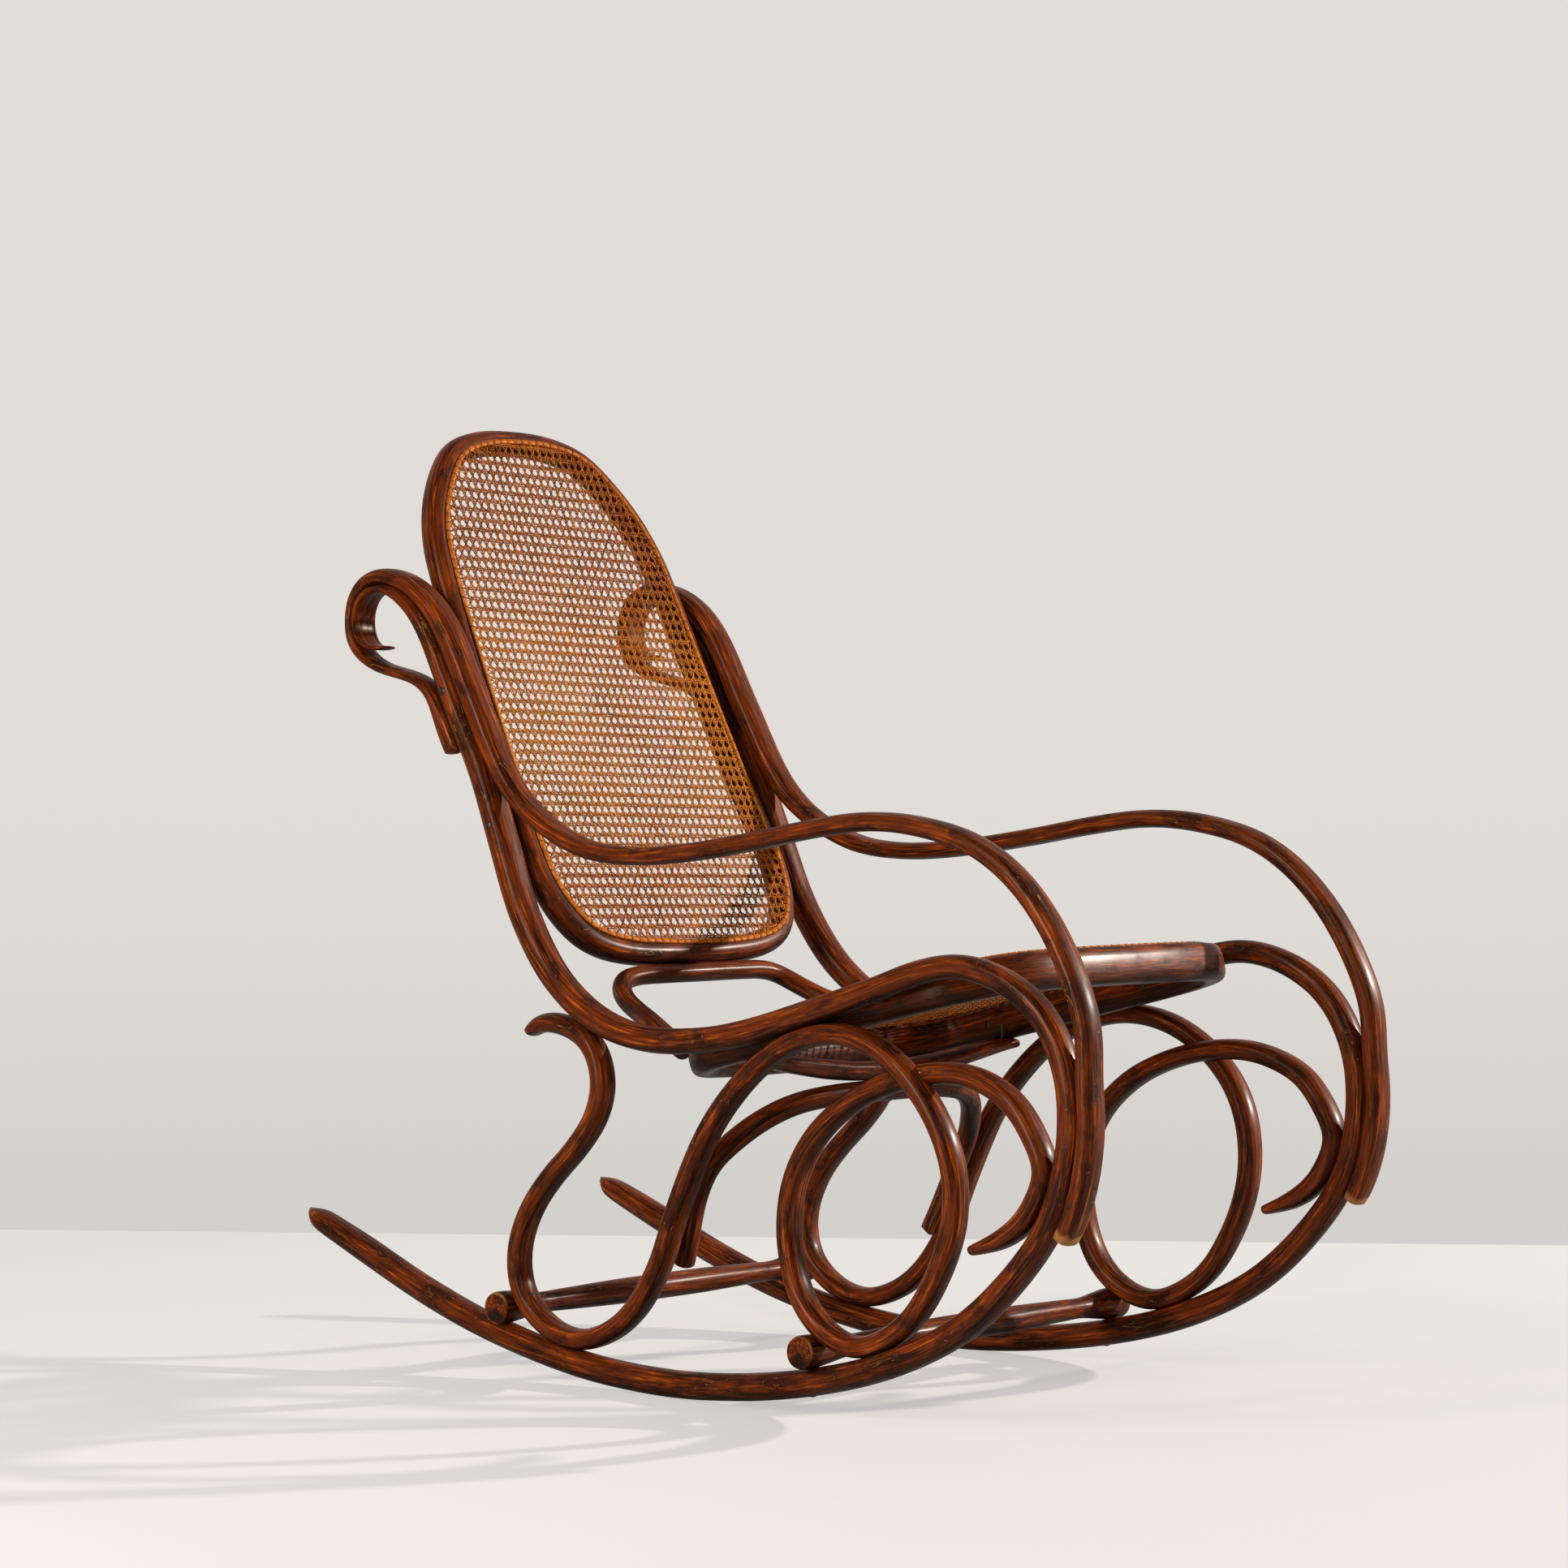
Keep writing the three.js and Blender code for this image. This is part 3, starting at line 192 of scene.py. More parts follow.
def rod(name, points, sizes, across, closed=False, squareness=2.5, domes=(0.006, 0.006), straight=(0, 0),
        wear=None, seed=0):
    """A bent rod: a superellipse |a/thick|^q + |b/wide|^q = 1 carried along the points, its width along
    the direction across. An open end closes in a dome, about its middle or with one side kept
    straight. Attribute grain holds the place in the wood (distance along, and the two offsets in the
    section), worn how much finish has gone, and under how far the surface faces down, 0 to 1. On a
    closed rod the grain breaks off where the rod starts, as it does at a scarf joint."""
    if closed:
        points, sizes = np.vstack([points, points[:1]]), np.vstack([sizes, sizes[:1]])
    step = np.gradient(points, axis=0)
    if closed:
        step[[0, -1]] = points[1] - points[-2]
    tangent = step / np.linalg.norm(step, axis=1)[:, None]
    side = across - tangent * (tangent @ across)[:, None]
    side /= np.linalg.norm(side, axis=1)[:, None]
    normal = np.cross(side, tangent)
    s = along(points)
    rng = np.random.default_rng(seed)
    waves = sum(
        np.sin(2 * np.pi * (np.round(s[-1] / length) * s / s[-1] + rng.random())) / 3
        for length in WAVE_LENGTHS
    )
    half = sizes / 2 * (1 + WAVE_SHARE * waves)[:, None]
    if not closed:
        for reach, away, kept in zip(domes, (s, s[-1] - s), straight):
            u = np.clip(away / max(reach, 1e-4), 0, 1)
            share = np.sqrt(np.maximum(1 - (1 - u) ** 2, 0.02))[:, None]
            points = points + normal * kept * half[:, :1] * (1 - share)
            half = half * share
    angle = np.linspace(0, 2 * np.pi, ROD_PLACES, endpoint=False)
    a = np.sign(np.cos(angle)) * np.abs(np.cos(angle)) ** (2 / squareness)
    b = np.sign(np.sin(angle)) * np.abs(np.sin(angle)) ** (2 / squareness)
    offset_a = half[:, :1] * a
    offset_b = half[:, 1:2] * b
    rings = points[:, None] + normal[:, None] * offset_a[..., None] + side[:, None] * offset_b[..., None]
    distance = np.broadcast_to(s[:, None], offset_a.shape)
    grain = np.stack([distance + 3 * seed, offset_a + 0.07 * seed, offset_b], -1)
    worn = np.zeros_like(offset_a) if wear is None else wear(rings, a, s)
    outward = rings - points[:, None]
    # How far the surface faces down; the beech finish paints shade from it.
    under = np.clip(-outward[..., 2] / np.linalg.norm(outward, axis=2), 0, 1)
    return grid_mesh(name, rings, caps=not closed, attributes=[
        ("grain", "FLOAT_VECTOR", grain), ("worn", "FLOAT", worn), ("under", "FLOAT", under)])


class Socket:
    """A node's output that can be added, multiplied and so on, each time with a Math node."""

    def __init__(self, tree, link):
        self.tree, self.link = tree, link

    def math(self, operation, *others):
        node = self.tree.nodes.new("ShaderNodeMath")
        node.operation = operation
        for socket, value in zip(node.inputs, others):
            if isinstance(value, Socket):
                self.tree.links.new(value.link, socket)
            else:
                socket.default_value = value
        return Socket(self.tree, node.outputs[0])

    def __add__(self, other):
        return self.math("ADD", self, other)

    def __sub__(self, other):
        return self.math("SUBTRACT", self, other)

    def __rsub__(self, other):
        return self.math("SUBTRACT", other, self)

    def __mul__(self, other):
        return self.math("MULTIPLY", self, other)

    def __abs__(self):
        return self.math("ABSOLUTE", self)

    __radd__, __rmul__ = __add__, __mul__

    def ramp(self, low, high):
        """0 below low and 1 above high, with a smooth rise between."""
        node = self.tree.nodes.new("ShaderNodeMapRange")
        node.interpolation_type = "SMOOTHSTEP"
        node.inputs["From Min"].default_value = low
        node.inputs["From Max"].default_value = high
        self.tree.links.new(self.link, node.inputs["Value"])
        return Socket(self.tree, node.outputs[0])


class Finish:
    """A material and its Principled shader. node() adds any node and returns one of its outputs. Its
    inputs are given by name, or as i0, i1 and so on where a name stands for several of them."""

    def __init__(self, name, **constants):
        self.material = bpy.data.materials.new(name)
        self.material.use_nodes = True
        self.tree = self.material.node_tree
        self.shader = self.tree.nodes["Principled BSDF"]
        for key, value in constants.items():
            self.shader.inputs[key.replace("_", " ")].default_value = value

    def node(self, kind, settings=None, output=0, **inputs):
        node = self.tree.nodes.new(kind)
        for key, value in (settings or {}).items():
            setattr(node, key, value)
        for key, value in inputs.items():
            socket = node.inputs[int(key[1:]) if key[1:].isdigit() else key.replace("_", " ")]
            if isinstance(value, Socket):
                self.tree.links.new(value.link, socket)
            else:
                socket.default_value = value
        return Socket(self.tree, node.outputs[output])

    def scaled(self, vector, scale, at=(0, 0, 0)):
        return self.node("ShaderNodeMapping", Vector=vector, Scale=scale, Location=at)

    def noise(self, vector, detail=4.0, roughness=0.55, distortion=0.0):
        return self.node("ShaderNodeTexNoise", Vector=vector, Scale=1.0, Detail=detail,
                         Roughness=roughness, Distortion=distortion)

    def mix(self, factor, first, second):
        return self.node("ShaderNodeMix", {"data_type": "RGBA"}, 2, i0=factor, i6=first, i7=second)

    def bump(self, height, strength, distance, under=None):
        inputs = {"Height": height, "Strength": strength, "Distance": distance}
        if under:
            inputs["Normal"] = under
        return self.node("ShaderNodeBump", **inputs)

    def feed(self, **values):
        for key, value in values.items():
            self.tree.links.new(value.link, self.shader.inputs[key.replace("_", " ")])
        return self.material


def beech_finish():
    """Stained and varnished beech: dark brown with orange-red streaks along the grain, short dark
    flecks, fine scratches down to the yellow wood, golden wood where the finish is worn off, and
    painted shade that turns the undersides near-black."""
    f = Finish("beech", Specular_IOR_Level=0.05, Coat_Roughness=0.25, Coat_IOR=1.4)
    grain = f.node("ShaderNodeAttribute", {"attribute_name": "grain"}, 1)
    worn = f.node("ShaderNodeAttribute", {"attribute_name": "worn"}, 2)
    under = f.node("ShaderNodeAttribute", {"attribute_name": "under"}, 2)
    broad = f.noise(f.scaled(grain, (9, 85, 85)), 3)
    streak = f.noise(f.scaled(grain, (26, 560, 560)), 5, 0.65)
    fine = f.noise(f.scaled(grain, (60, 1500, 1500)), 3)
    glow = f.noise(f.scaled(grain, (17, 260, 260), (7, 3, 1)), 4, 0.65)
    blotch = f.noise(f.scaled(grain, (22, 45, 45), (1, 5, 2)), 5, 0.6)
    dark = (0.016, 0.0034, 0.001, 1)
    brown = (0.084, 0.0145, 0.0016, 1)
    red = (0.26, 0.045, 0.0024, 1)
    ember = (0.52, 0.105, 0.006, 1)
    golden = (0.34, 0.15, 0.045, 1)
    soot = (0.014, 0.0042, 0.002, 1)
    bare = (0.5, 0.22, 0.075, 1)
    painted_underside_shade = (0.007, 0.0025, 0.0012, 1)
    body = f.mix((broad * 0.65 + streak * 0.35).ramp(0.39, 0.53), dark, brown)
    body = f.mix((streak * 0.4 + glow * 0.6).ramp(0.44, 0.64) * 0.8, body, red)
    body = f.mix((glow * streak).ramp(0.31, 0.42) * 0.7, body, ember)
    body = f.mix(fine.ramp(0.58, 0.68) * 0.5, body, dark)
    body = f.mix(blotch.ramp(0.51, 0.64) * 0.75, body, soot)
    scuff = f.noise(f.scaled(grain, (16, 90, 90), (2, 9, 4)), 2, 0.5, 1.4)
    hair = (1 - abs(scuff - 0.5).ramp(0.0012, 0.0045)) * blotch.ramp(0.54, 0.64)
    body = f.mix(hair * 0.8, body, bare)
    # Painted shade: the more a surface faces down, the nearer it is drawn to black.
    body = f.mix(under.ramp(0.0, 0.85) * 0.9, body, painted_underside_shade)
    rubbed = (worn + (blotch - 0.5) * 0.9).ramp(0.32, 0.62) * worn.ramp(0.02, 0.2)
    body = f.mix(rubbed * 0.8, body, golden)
    rough = 0.42 + blotch.ramp(0.42, 0.7) * 0.14 + rubbed * 0.2
    relief = f.bump(streak * 0.6 + fine * 0.4, 0.16, 0.0006)
    relief = f.bump(broad + blotch * 0.6, 0.22, 0.004, relief)
    coat = 0.17 - rubbed * 0.14 - blotch.ramp(0.5, 0.7) * 0.08
    return f.feed(Base_Color=body, Roughness=rough, Normal=relief, Coat_Weight=coat)


beech = beech_finish()


def dress(piece, material, slot, *nodes):
    """Gives a piece its finish and its place in the frame."""
    piece.data.materials.append(material)
    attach(piece, "root")
    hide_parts(*nodes)
    return piece


SAMPLES = 900


def side_view(knots):
    """The knots' places in the side view, in metres from the chair's own origin."""
    return np.array([[k[0] * SIDE_REACH, 0, k[1] * SIDE_RISE] for k in knots])


def side_sizes(knots, thick, wide):
    """Thickness and width along a side rod."""
    return np.stack([thick * column(knots, 2, SAMPLES), wide * column(knots, 3, SAMPLES)], 1)


def mean_side_rod(points, sizes, crossing=0):
    """A side rod's centre line on the left frame, faired: the frame's lean gives its distance out."""
    points = points.copy()
    points[:, 1] = frame_half(points[:, 0], points[:, 2]) + crossing
    return faired(points + SHIFT, sizes)


def rail_wear(rings, a, s):
    """The rail is rubbed at its tail's tip and on the runner's tread."""
    tip = 0.42 * np.exp(-((s / 0.03) ** 2))
    tread = 0.5 * (rings[..., 2] < 0.012) * np.clip(-a, 0, 1)
    return np.maximum(tip[:, None], tread)


def both_sides(name, points, sizes, seed, **options):
    """The rod for the left frame and its mirror image for the right one, each its own piece."""
    outward = np.array([0, 1.0, 0])
    for number, (side, sign) in enumerate(SIDES.items()):
        placed = points * [1, sign, 1]
        piece = rod(f"{side}_{name}_rod", placed, sizes, outward, seed=seed + number, **options)
        dress(piece, beech, "beech", f"{side}_{name}")


rail_line = curve(side_view(rail_shares), SAMPLES)
rail_size = side_sizes(rail_shares, RAIL_THICK, RAIL_WIDE)
rail = mean_side_rod(rail_line, rail_size)
both_sides("rail", *rail, seed=1, wear=rail_wear, domes=(0.02, 0.006), straight=(-1, 0))

# Arms. Each is a thinner, flatter beech rod: a foot screwed to the back of the upright, a tail that
# follows the rail's curl from outside, then the armrest, which comes down and is screwed to the rise.
ARM_THICK = 0.019
ARM_WIDE = 0.03
arm_shares = [
    [-0.652, 0.796, 1.2, 0.86, "rail"], [-0.672, 0.824, 1.2, 0.9, "rail"], [-0.7, 0.852, 0.86, 0.93],
    [-0.72, 0.8735, 0.68, 0.93], [-0.758, 0.891, 0.64, 0.93], [-0.806, 0.9, 0.63, 0.95],
    [-0.872, 0.9095, 0.63, 0.98], [-0.918, 0.923, 0.63, 1], [-0.951, 0.945, 0.65, 1.03],
    [-0.962, 0.973, 0.7, 1.05, "rail"], [-0.948, 1.002, 0.76, 1.07, "rail"],
    [-0.914, 1.023, 0.84, 1.07, "rail"], [-0.872, 1.0314, 0.9, 1.07, "rail"],
    [-0.8, 1.022, 1, 1.07, "rail"], [-0.732, 0.9925, 1.14, 1.07, "rail"],
    [-0.69, 0.963, 1.2, 1.07, "rail"], [-0.655, 0.929, 1.25, 1.07, "rail"],
    [-0.62, 0.8845, 1.26, 1.07, "rail"], [-0.582, 0.838, 1.25, 1.07, "rail"],
    [-0.542, 0.7945, 1.18, 1.05, "rail"], [-0.5, 0.7565, 1.1, 1.03], [-0.451, 0.7265, 1.03, 1],
    [-0.384, 0.6995, 0.98, 1], [-0.282, 0.674, 0.97, 1], [-0.158, 0.6655, 0.97, 1],
    [-0.016, 0.67, 0.97, 1], [0.178, 0.6862, 0.97, 1], [0.326, 0.7015, 0.97, 1], [0.46, 0.711, 0.98, 1],
    [0.58, 0.7075, 1, 1], [0.72, 0.687, 1.02, 1], [0.82, 0.651, 1.04, 1], [0.902, 0.5985, 1.05, 1],
    [0.963, 0.5365, 1.05, 1], [0.998, 0.4775, 1.05, 1], [1.012, 0.415, 1.05, 1, "rail"],
    [1.013, 0.37, 1.05, 1, "rail"], [1.004, 0.32, 1.05, 1, "rail"], [0.985, 0.283, 1.05, 1, "rail"],
    [0.958, 0.247, 1, 1, "rail"], [0.944, 0.232, 0.9, 0.95, "rail"],
]


def seated(place, half, line, thick):
    """Moves a place of the side view straight to or from a rod until a rod of that half thickness
    just sits on it."""
    gaps = np.linalg.norm(line - place, axis=1)
    foot = np.argmin(gaps)
    return line[foot] + (place - line[foot]) / gaps[foot] * (thick[foot] / 2 + half - SADDLE)


def seat_knots(shares, thick, seats):
    """The knots in the side view, with those that name a rod moved until they sit on it."""
    knots = side_view(shares)
    for i, share in enumerate(shares):
        if share[-1] in seats:
            knots[i] = seated(knots[i], share[2] * thick / 2, *seats[share[-1]])
    return knots


def arm_wear(rings, a, s):
    """Both ends are rubbed down to the wood, the front one more, and the armrest a little on top."""
    ends = 0.3 * np.exp(-((s / 0.008) ** 2)) + 0.95 * np.exp(-(((s[-1] - s) / 0.016) ** 2))
    top = 0.16 * (rings[..., 2] > 0.53) * (rings[..., 0] > -0.25) * np.abs(a)
    return np.maximum(ends[:, None], top)


seats = {"rail": (rail_line, rail_size[:, 0])}
arm_line = curve(seat_knots(arm_shares, ARM_THICK, seats), SAMPLES)
arm_size = side_sizes(arm_shares, ARM_THICK, ARM_WIDE)
both_sides("arm", *mean_side_rod(arm_line, arm_size), seed=5, wear=arm_wear, squareness=2.7)

# Scrolls. Each is one rod that hooks under the seat rail, drops in a U to the runner, rises under the
# seat and makes a loop. Where it crosses itself the two passes lie side by side.
SCROLL_THICK = 0.021
SCROLL_WIDE = 0.028
SCROLL_CROSS_SHARE = 0.27
STRETCHER_END = 0.033
STRETCHER_OVERHANG = 0.021
REAR_STRETCHER_SHARE = -0.48
FRONT_STRETCHER_SHARE = 0.35
scroll_shares = [
    [-0.426, 0.4365, 0.45, 0.8, 0], [-0.399, 0.4495, 0.85, 0.95, 0], [-0.363, 0.4535, 1, 1, 0],
    [-0.313, 0.4485, 1, 1, 0], [-0.271, 0.4365, 1, 1, 0, "rail"], [-0.236, 0.417, 1, 1, 0],
    [-0.218, 0.3785, 1, 1, 0], [-0.235, 0.338, 1, 1, 0], [-0.289, 0.296, 1, 1, 0],
    [-0.357, 0.257, 1, 1, 0], [-0.413, 0.2155, 1, 1, 0], [-0.445, 0.1715, 1, 1, 0],
    [-0.449, 0.133, 1, 1, 0], [-0.425, 0.099, 1, 1, 0, "rear"], [-0.364, 0.066, 1, 1, 0],
    [-0.281, 0.0563, 1, 1, 0, "rail"], [-0.19, 0.0703, 1, 1, 0], [-0.122, 0.102, 1, 1, 0],
    [-0.06, 0.1558, 1, 1, 0], [-0.01, 0.2278, 1, 1, 0], [0.061, 0.316, 1, 1, 0],
    [0.124, 0.3675, 1, 1, 0], [0.214, 0.417, 1, 1, 0], [0.314, 0.449, 1, 1, 0, "rail"],
    [0.422, 0.457, 1, 1, 0.25], [0.516, 0.4432, 1, 1, 0.8], [0.606, 0.407, 1, 1, 1],
    [0.667, 0.3607, 1, 1, 0.8], [0.698, 0.3075, 1, 1, 0.3], [0.698, 0.246, 1, 1, 0],
    [0.658, 0.1795, 1, 1, 0], [0.586, 0.12, 1, 1, 0], [0.467, 0.088, 1, 1, 0, "rail"],
    [0.387, 0.1025, 1, 1, 0, "front"], [0.323, 0.1367, 1, 1, 0], [0.288, 0.207, 1, 1, 0],
    [0.298, 0.274, 1, 1, -0.2], [0.342, 0.3267, 1, 1, -0.5], [0.424, 0.372, 1, 1, -0.8],
    [0.516, 0.399, 1, 1, -1], [0.604, 0.4132, 1, 1, -1], [0.698, 0.417, 1, 1, -0.8],
    [0.768, 0.408, 1, 1, -0.4], [0.834, 0.387, 1, 1, 0], [0.88, 0.3525, 1, 1, 0],
    [0.904, 0.3125, 1, 1, 0, "rail"], [0.893, 0.281, 1, 1, 0], [0.86, 0.2512, 1, 1, 0],
    [0.81, 0.2295, 0.9, 1, 0], [0.736, 0.2125, 0.45, 0.8, 0],
]


def stretcher_place(share):
    """Where a stretcher lies on the runners, in the side view, and how far out its ends reach."""
    at = np.array([share * SIDE_REACH, 0, 0])
    runner = rail_line[np.argmin(np.linalg.norm(rail_line - at, axis=1))]
    at[2] = runner[2] + RAIL_THICK
    end = frame_half(runner[0], runner[2]) + STRETCHER_OVERHANG
    return seated(at, STRETCHER_END / 2, rail_line, rail_size[:, 0]), end


def scroll_wear(rings, a, s):
    """The two cut ends are a little rubbed."""
    ends = np.exp(-((s / 0.008) ** 2)) + np.exp(-(((s[-1] - s) / 0.01) ** 2))
    return np.broadcast_to(0.45 * ends[:, None], rings.shape[:2])


stretchers = {
    "rear": stretcher_place(REAR_STRETCHER_SHARE),
    "front": stretcher_place(FRONT_STRETCHER_SHARE),
}
for name, (place, end) in stretchers.items():
    seats[name] = (place[None], [STRETCHER_END])
scroll_line = curve(seat_knots(scroll_shares, SCROLL_THICK, seats), SAMPLES)
scroll_size = side_sizes(scroll_shares, SCROLL_THICK, SCROLL_WIDE)
crossing = SCROLL_CROSS_SHARE * SCROLL_WIDE * column(scroll_shares, 4, SAMPLES)
both_sides("scroll", *mean_side_rod(scroll_line, scroll_size, crossing), seed=9, wear=scroll_wear)

# Back ring. A rod bent into an oval frame, its ends scarfed at the foot, dished to the rear in the
# middle and screwed to the inner sides of both uprights. Its front is drilled all round for the cane.
RING_ROD = 0.028
RING_LENGTH = 0.611
RING_DISH = 0.008
RING_BELOW = 0.149
RING_LOW_JOINT = 0.56
RING_HIGH_JOINT = 0.7
RING_LOW_FORWARD = 0.007
RING_HIGH_FORWARD = 0.01
SEAT_REAR = -0.0515
ring_shares = [
    [0, 0], [0.31, 0.002], [0.545, 0.008], [0.725, 0.022], [0.845, 0.045], [0.943, 0.09], [0.99, 0.142],
    [1, 0.19], [0.997, 0.24], [0.975, 0.415], [0.947, 0.605], [0.922, 0.719], [0.895, 0.787],
    [0.822, 0.852], [0.692, 0.917], [0.52, 0.97], [0.285, 0.994], [0, 1],
]


class Panel:
    """A plane across the chair. Its middle may be bent back: dish x (1 - (2s/length - 1)^2)."""

    def __init__(self, origin, up, normal, dish=0.0, length=1.0):
        self.origin, self.up, self.normal, self.dish, self.length = origin, up, normal, dish, length

    def at(self, y, s, lift=0.0):
        """The place y across, s up the plane and lift in front of it."""
        y, s, lift = np.broadcast_arrays(y, s, lift)
        out = lift - self.dish * (1 - (2 * s / self.length - 1) ** 2)
        return self.origin + y[..., None] * [0, 1, 0] + s[..., None] * self.up + out[..., None] * self.normal


def unit(vector):
    """The vector at length 1."""
    return vector / np.linalg.norm(vector)


def upright_at(z):
    """Number of the rail's point that is the first at a height on the upright."""
    start = np.nonzero(rail_line[:, 0] > SEAT_REAR)[0][-1]
    return start + np.argmax(rail_line[start:, 2] >= z)


def inside_rail(i, thick):
    """How far out a rod of that thickness lies that touches the rail's inner side."""
    place = rail_line[i]
    return frame_half(place[0], place[2]) - rail_size[i, 1] / 2 - thick / 2 + SADDLE


def outline_of(shares, half_at, length):
    """The whole outline, across and along, from one half in shares of the half width and length."""
    half = np.array([[y * half_at(along * length), along * length] for y, along in shares])
    return np.vstack([half, half[-2:0:-1] * [-1, 1]])


low, high = upright_at(RING_LOW_JOINT), upright_at(RING_HIGH_JOINT)
ring_low = rail_line[low] + [RING_LOW_FORWARD, 0, 0]
ring_up = unit(rail_line[high] + [RING_HIGH_FORWARD, 0, 0] - ring_low)
ring_normal = np.cross([0, 1, 0], ring_up)
back = Panel(ring_low - ring_up * RING_BELOW + SHIFT, ring_up, ring_normal, RING_DISH, RING_LENGTH)
ring_half = inside_rail(low, RING_ROD)
ring_outline = outline_of(ring_shares, lambda s: ring_half, RING_LENGTH)


def closed_rod(name, panel, outline, thick, tall, squareness, seed):
    """A rod bent into a ring on a panel."""
    line = curve(panel.at(outline[:, 0], outline[:, 1]), SAMPLES, closed=True)
    points, sizes = faired(line, np.tile([thick, tall], (SAMPLES, 1)), closed=True, spread=0.006)
    return rod(name + "_rod", points, sizes, panel.normal, True, squareness, seed=seed)


ring = closed_rod("back_ring", back, ring_outline, RING_ROD, RING_ROD, 2.15, 13)
dress(ring, beech, "beech", "back_ring")

# Seat rim. A squarer rod bent into a ring that widens to the front, screwed between the two seat
# rails a little lower than they are, and drilled through its top for the cane.
SEAT_THICK = 0.027
SEAT_TALL = 0.038
SEAT_DEPTH = 0.436
REAR_JOINT_SHARE = 0.227
FRONT_JOINT_SHARE = 0.87
REAR_JOINT_DROP = 0.006
FRONT_JOINT_DROP = 0.011
seat_shares = [
    [0, 0], [0.25, 0.001], [0.44, 0.006], [0.69, 0.026], [0.82, 0.051], [0.905, 0.082], [0.965, 0.12],
    [0.993, 0.165], [1, 0.22], [1, 0.45], [1, 0.69], [0.985, 0.81], [0.93, 0.89], [0.83, 0.948],
    [0.69, 0.98], [0.45, 0.995], [0, 1],
]


def seat_rail_at(share):
    """Number of the rail's point beside the seat, that share of its depth from its rear."""
    middle = SAMPLES // 2
    at = np.array([SEAT_REAR + share * SEAT_DEPTH, 0, SIDE_RISE / 2])
    return middle + np.argmin(np.linalg.norm(rail_line[middle:] - at, axis=1))


joints = [seat_rail_at(REAR_JOINT_SHARE), seat_rail_at(FRONT_JOINT_SHARE)]
rear_joint = rail_line[joints[0]] - [0, 0, REAR_JOINT_DROP]
front_joint = rail_line[joints[1]] - [0, 0, FRONT_JOINT_DROP]
seat_up = unit(front_joint - rear_joint)
seat_behind = (rear_joint[0] - SEAT_REAR) / seat_up[0]
seat_normal = -np.cross([0, 1, 0], seat_up)
seat = Panel(rear_joint - seat_up * seat_behind + SHIFT, seat_up, seat_normal)


def seat_half(along_seat):
    """Half the seat rim's width between its side centre lines, at a distance from its rear."""
    rear, front = (inside_rail(i, SEAT_THICK) for i in joints)
    share = (along_seat - seat_behind) / np.linalg.norm(front_joint - rear_joint)
    return rear + (front - rear) * share


seat_outline = outline_of(seat_shares, seat_half, SEAT_DEPTH)
rim = closed_rod("seat_rim", seat, seat_outline, SEAT_THICK, SEAT_TALL, 3.2, 17)
dress(rim, beech, "beech", "seat_rim")

# Cane. Long strips of rattan bark, woven by hand in the six-way pattern: pairs up, pairs across and
# one strand along each diagonal. Every strand goes down through a drilled hole of the frame.
PITCH_ACROSS = 0.01065
PITCH_UP = 0.012
PITCH_SLANT = math.hypot(PITCH_ACROSS, PITCH_UP)
HOLE_PITCH = 0.0113
TURN = math.radians(1.2)
STRAND_WIDE = 0.00175
STRAND_THICK = 0.0005
PAIR_APART = 0.0021
DIAGONAL_RISE = 0.00085
UPRIGHT_RISE = 0.00037
STRAND_SWAY = 0.00022
HOLE_DIP = 0.0016
DIP_LENGTH = 0.0022


def cane_finish(name, pale, deep):
    """Varnished rattan bark: each strand has its own tone between orange and dark brown, with fine
    long fibres and a soft shine. It is painted more golden at the height of the middle of the back, a
    painted glow of light, and darker at the top, painted shade."""
    f = Finish(name, Specular_IOR_Level=0.05, Coat_Weight=0.04, Coat_Roughness=0.25)
    grain = f.node("ShaderNodeAttribute", {"attribute_name": "grain"}, 1)
    strand = f.noise(f.scaled(grain, (2.2, 0.0, 7.3)), 1)
    length = f.noise(f.scaled(grain, (55, 300, 9.1)), 3)
    fibre = f.noise(f.scaled(grain, (120, 4000, 5.7)), 2)
    tone = (strand * 0.5 + length * 0.5).ramp(0.36, 0.64)
    colour = f.mix(tone, deep, pale)
    colour = f.mix(fibre.ramp(0.56, 0.72) * 0.45, colour, (deep[0] * 0.45, deep[1] * 0.4, deep[2] * 0.4, 1))
    place = f.node("ShaderNodeTexCoord", output=3)
    height = f.node("ShaderNodeSeparateXYZ", output=2, Vector=place)
    # Painted light: a patchy golden glow at the height of the middle of the back.
    patches = f.noise(f.scaled(place, (4, 4, 4)), 1).ramp(0.2, 0.6)
    golden = height.ramp(0.48, 0.64) * (1 - height.ramp(0.68, 0.84)) * patches
    # Painted shade: darker at the top of the back.
    colour = f.mix(height.ramp(0.74, 0.9) * 0.35, colour, deep)
    colour = f.mix(golden * 0.38, colour, (0.66, 0.25, 0.02, 1))
    colour = f.mix(length.ramp(0.6, 0.72) * 0.4, colour, (0.66, 0.3, 0.06, 1))
    return f.feed(Base_Color=colour, Roughness=0.34 + fibre * 0.22, Normal=f.bump(fibre, 0.2, 0.0002))


cane = cane_finish("cane", (0.54, 0.155, 0.009, 1), (0.13, 0.025, 0.0015, 1))
binding = cane_finish("binding", (0.62, 0.18, 0.008, 1), (0.3, 0.065, 0.003, 1))


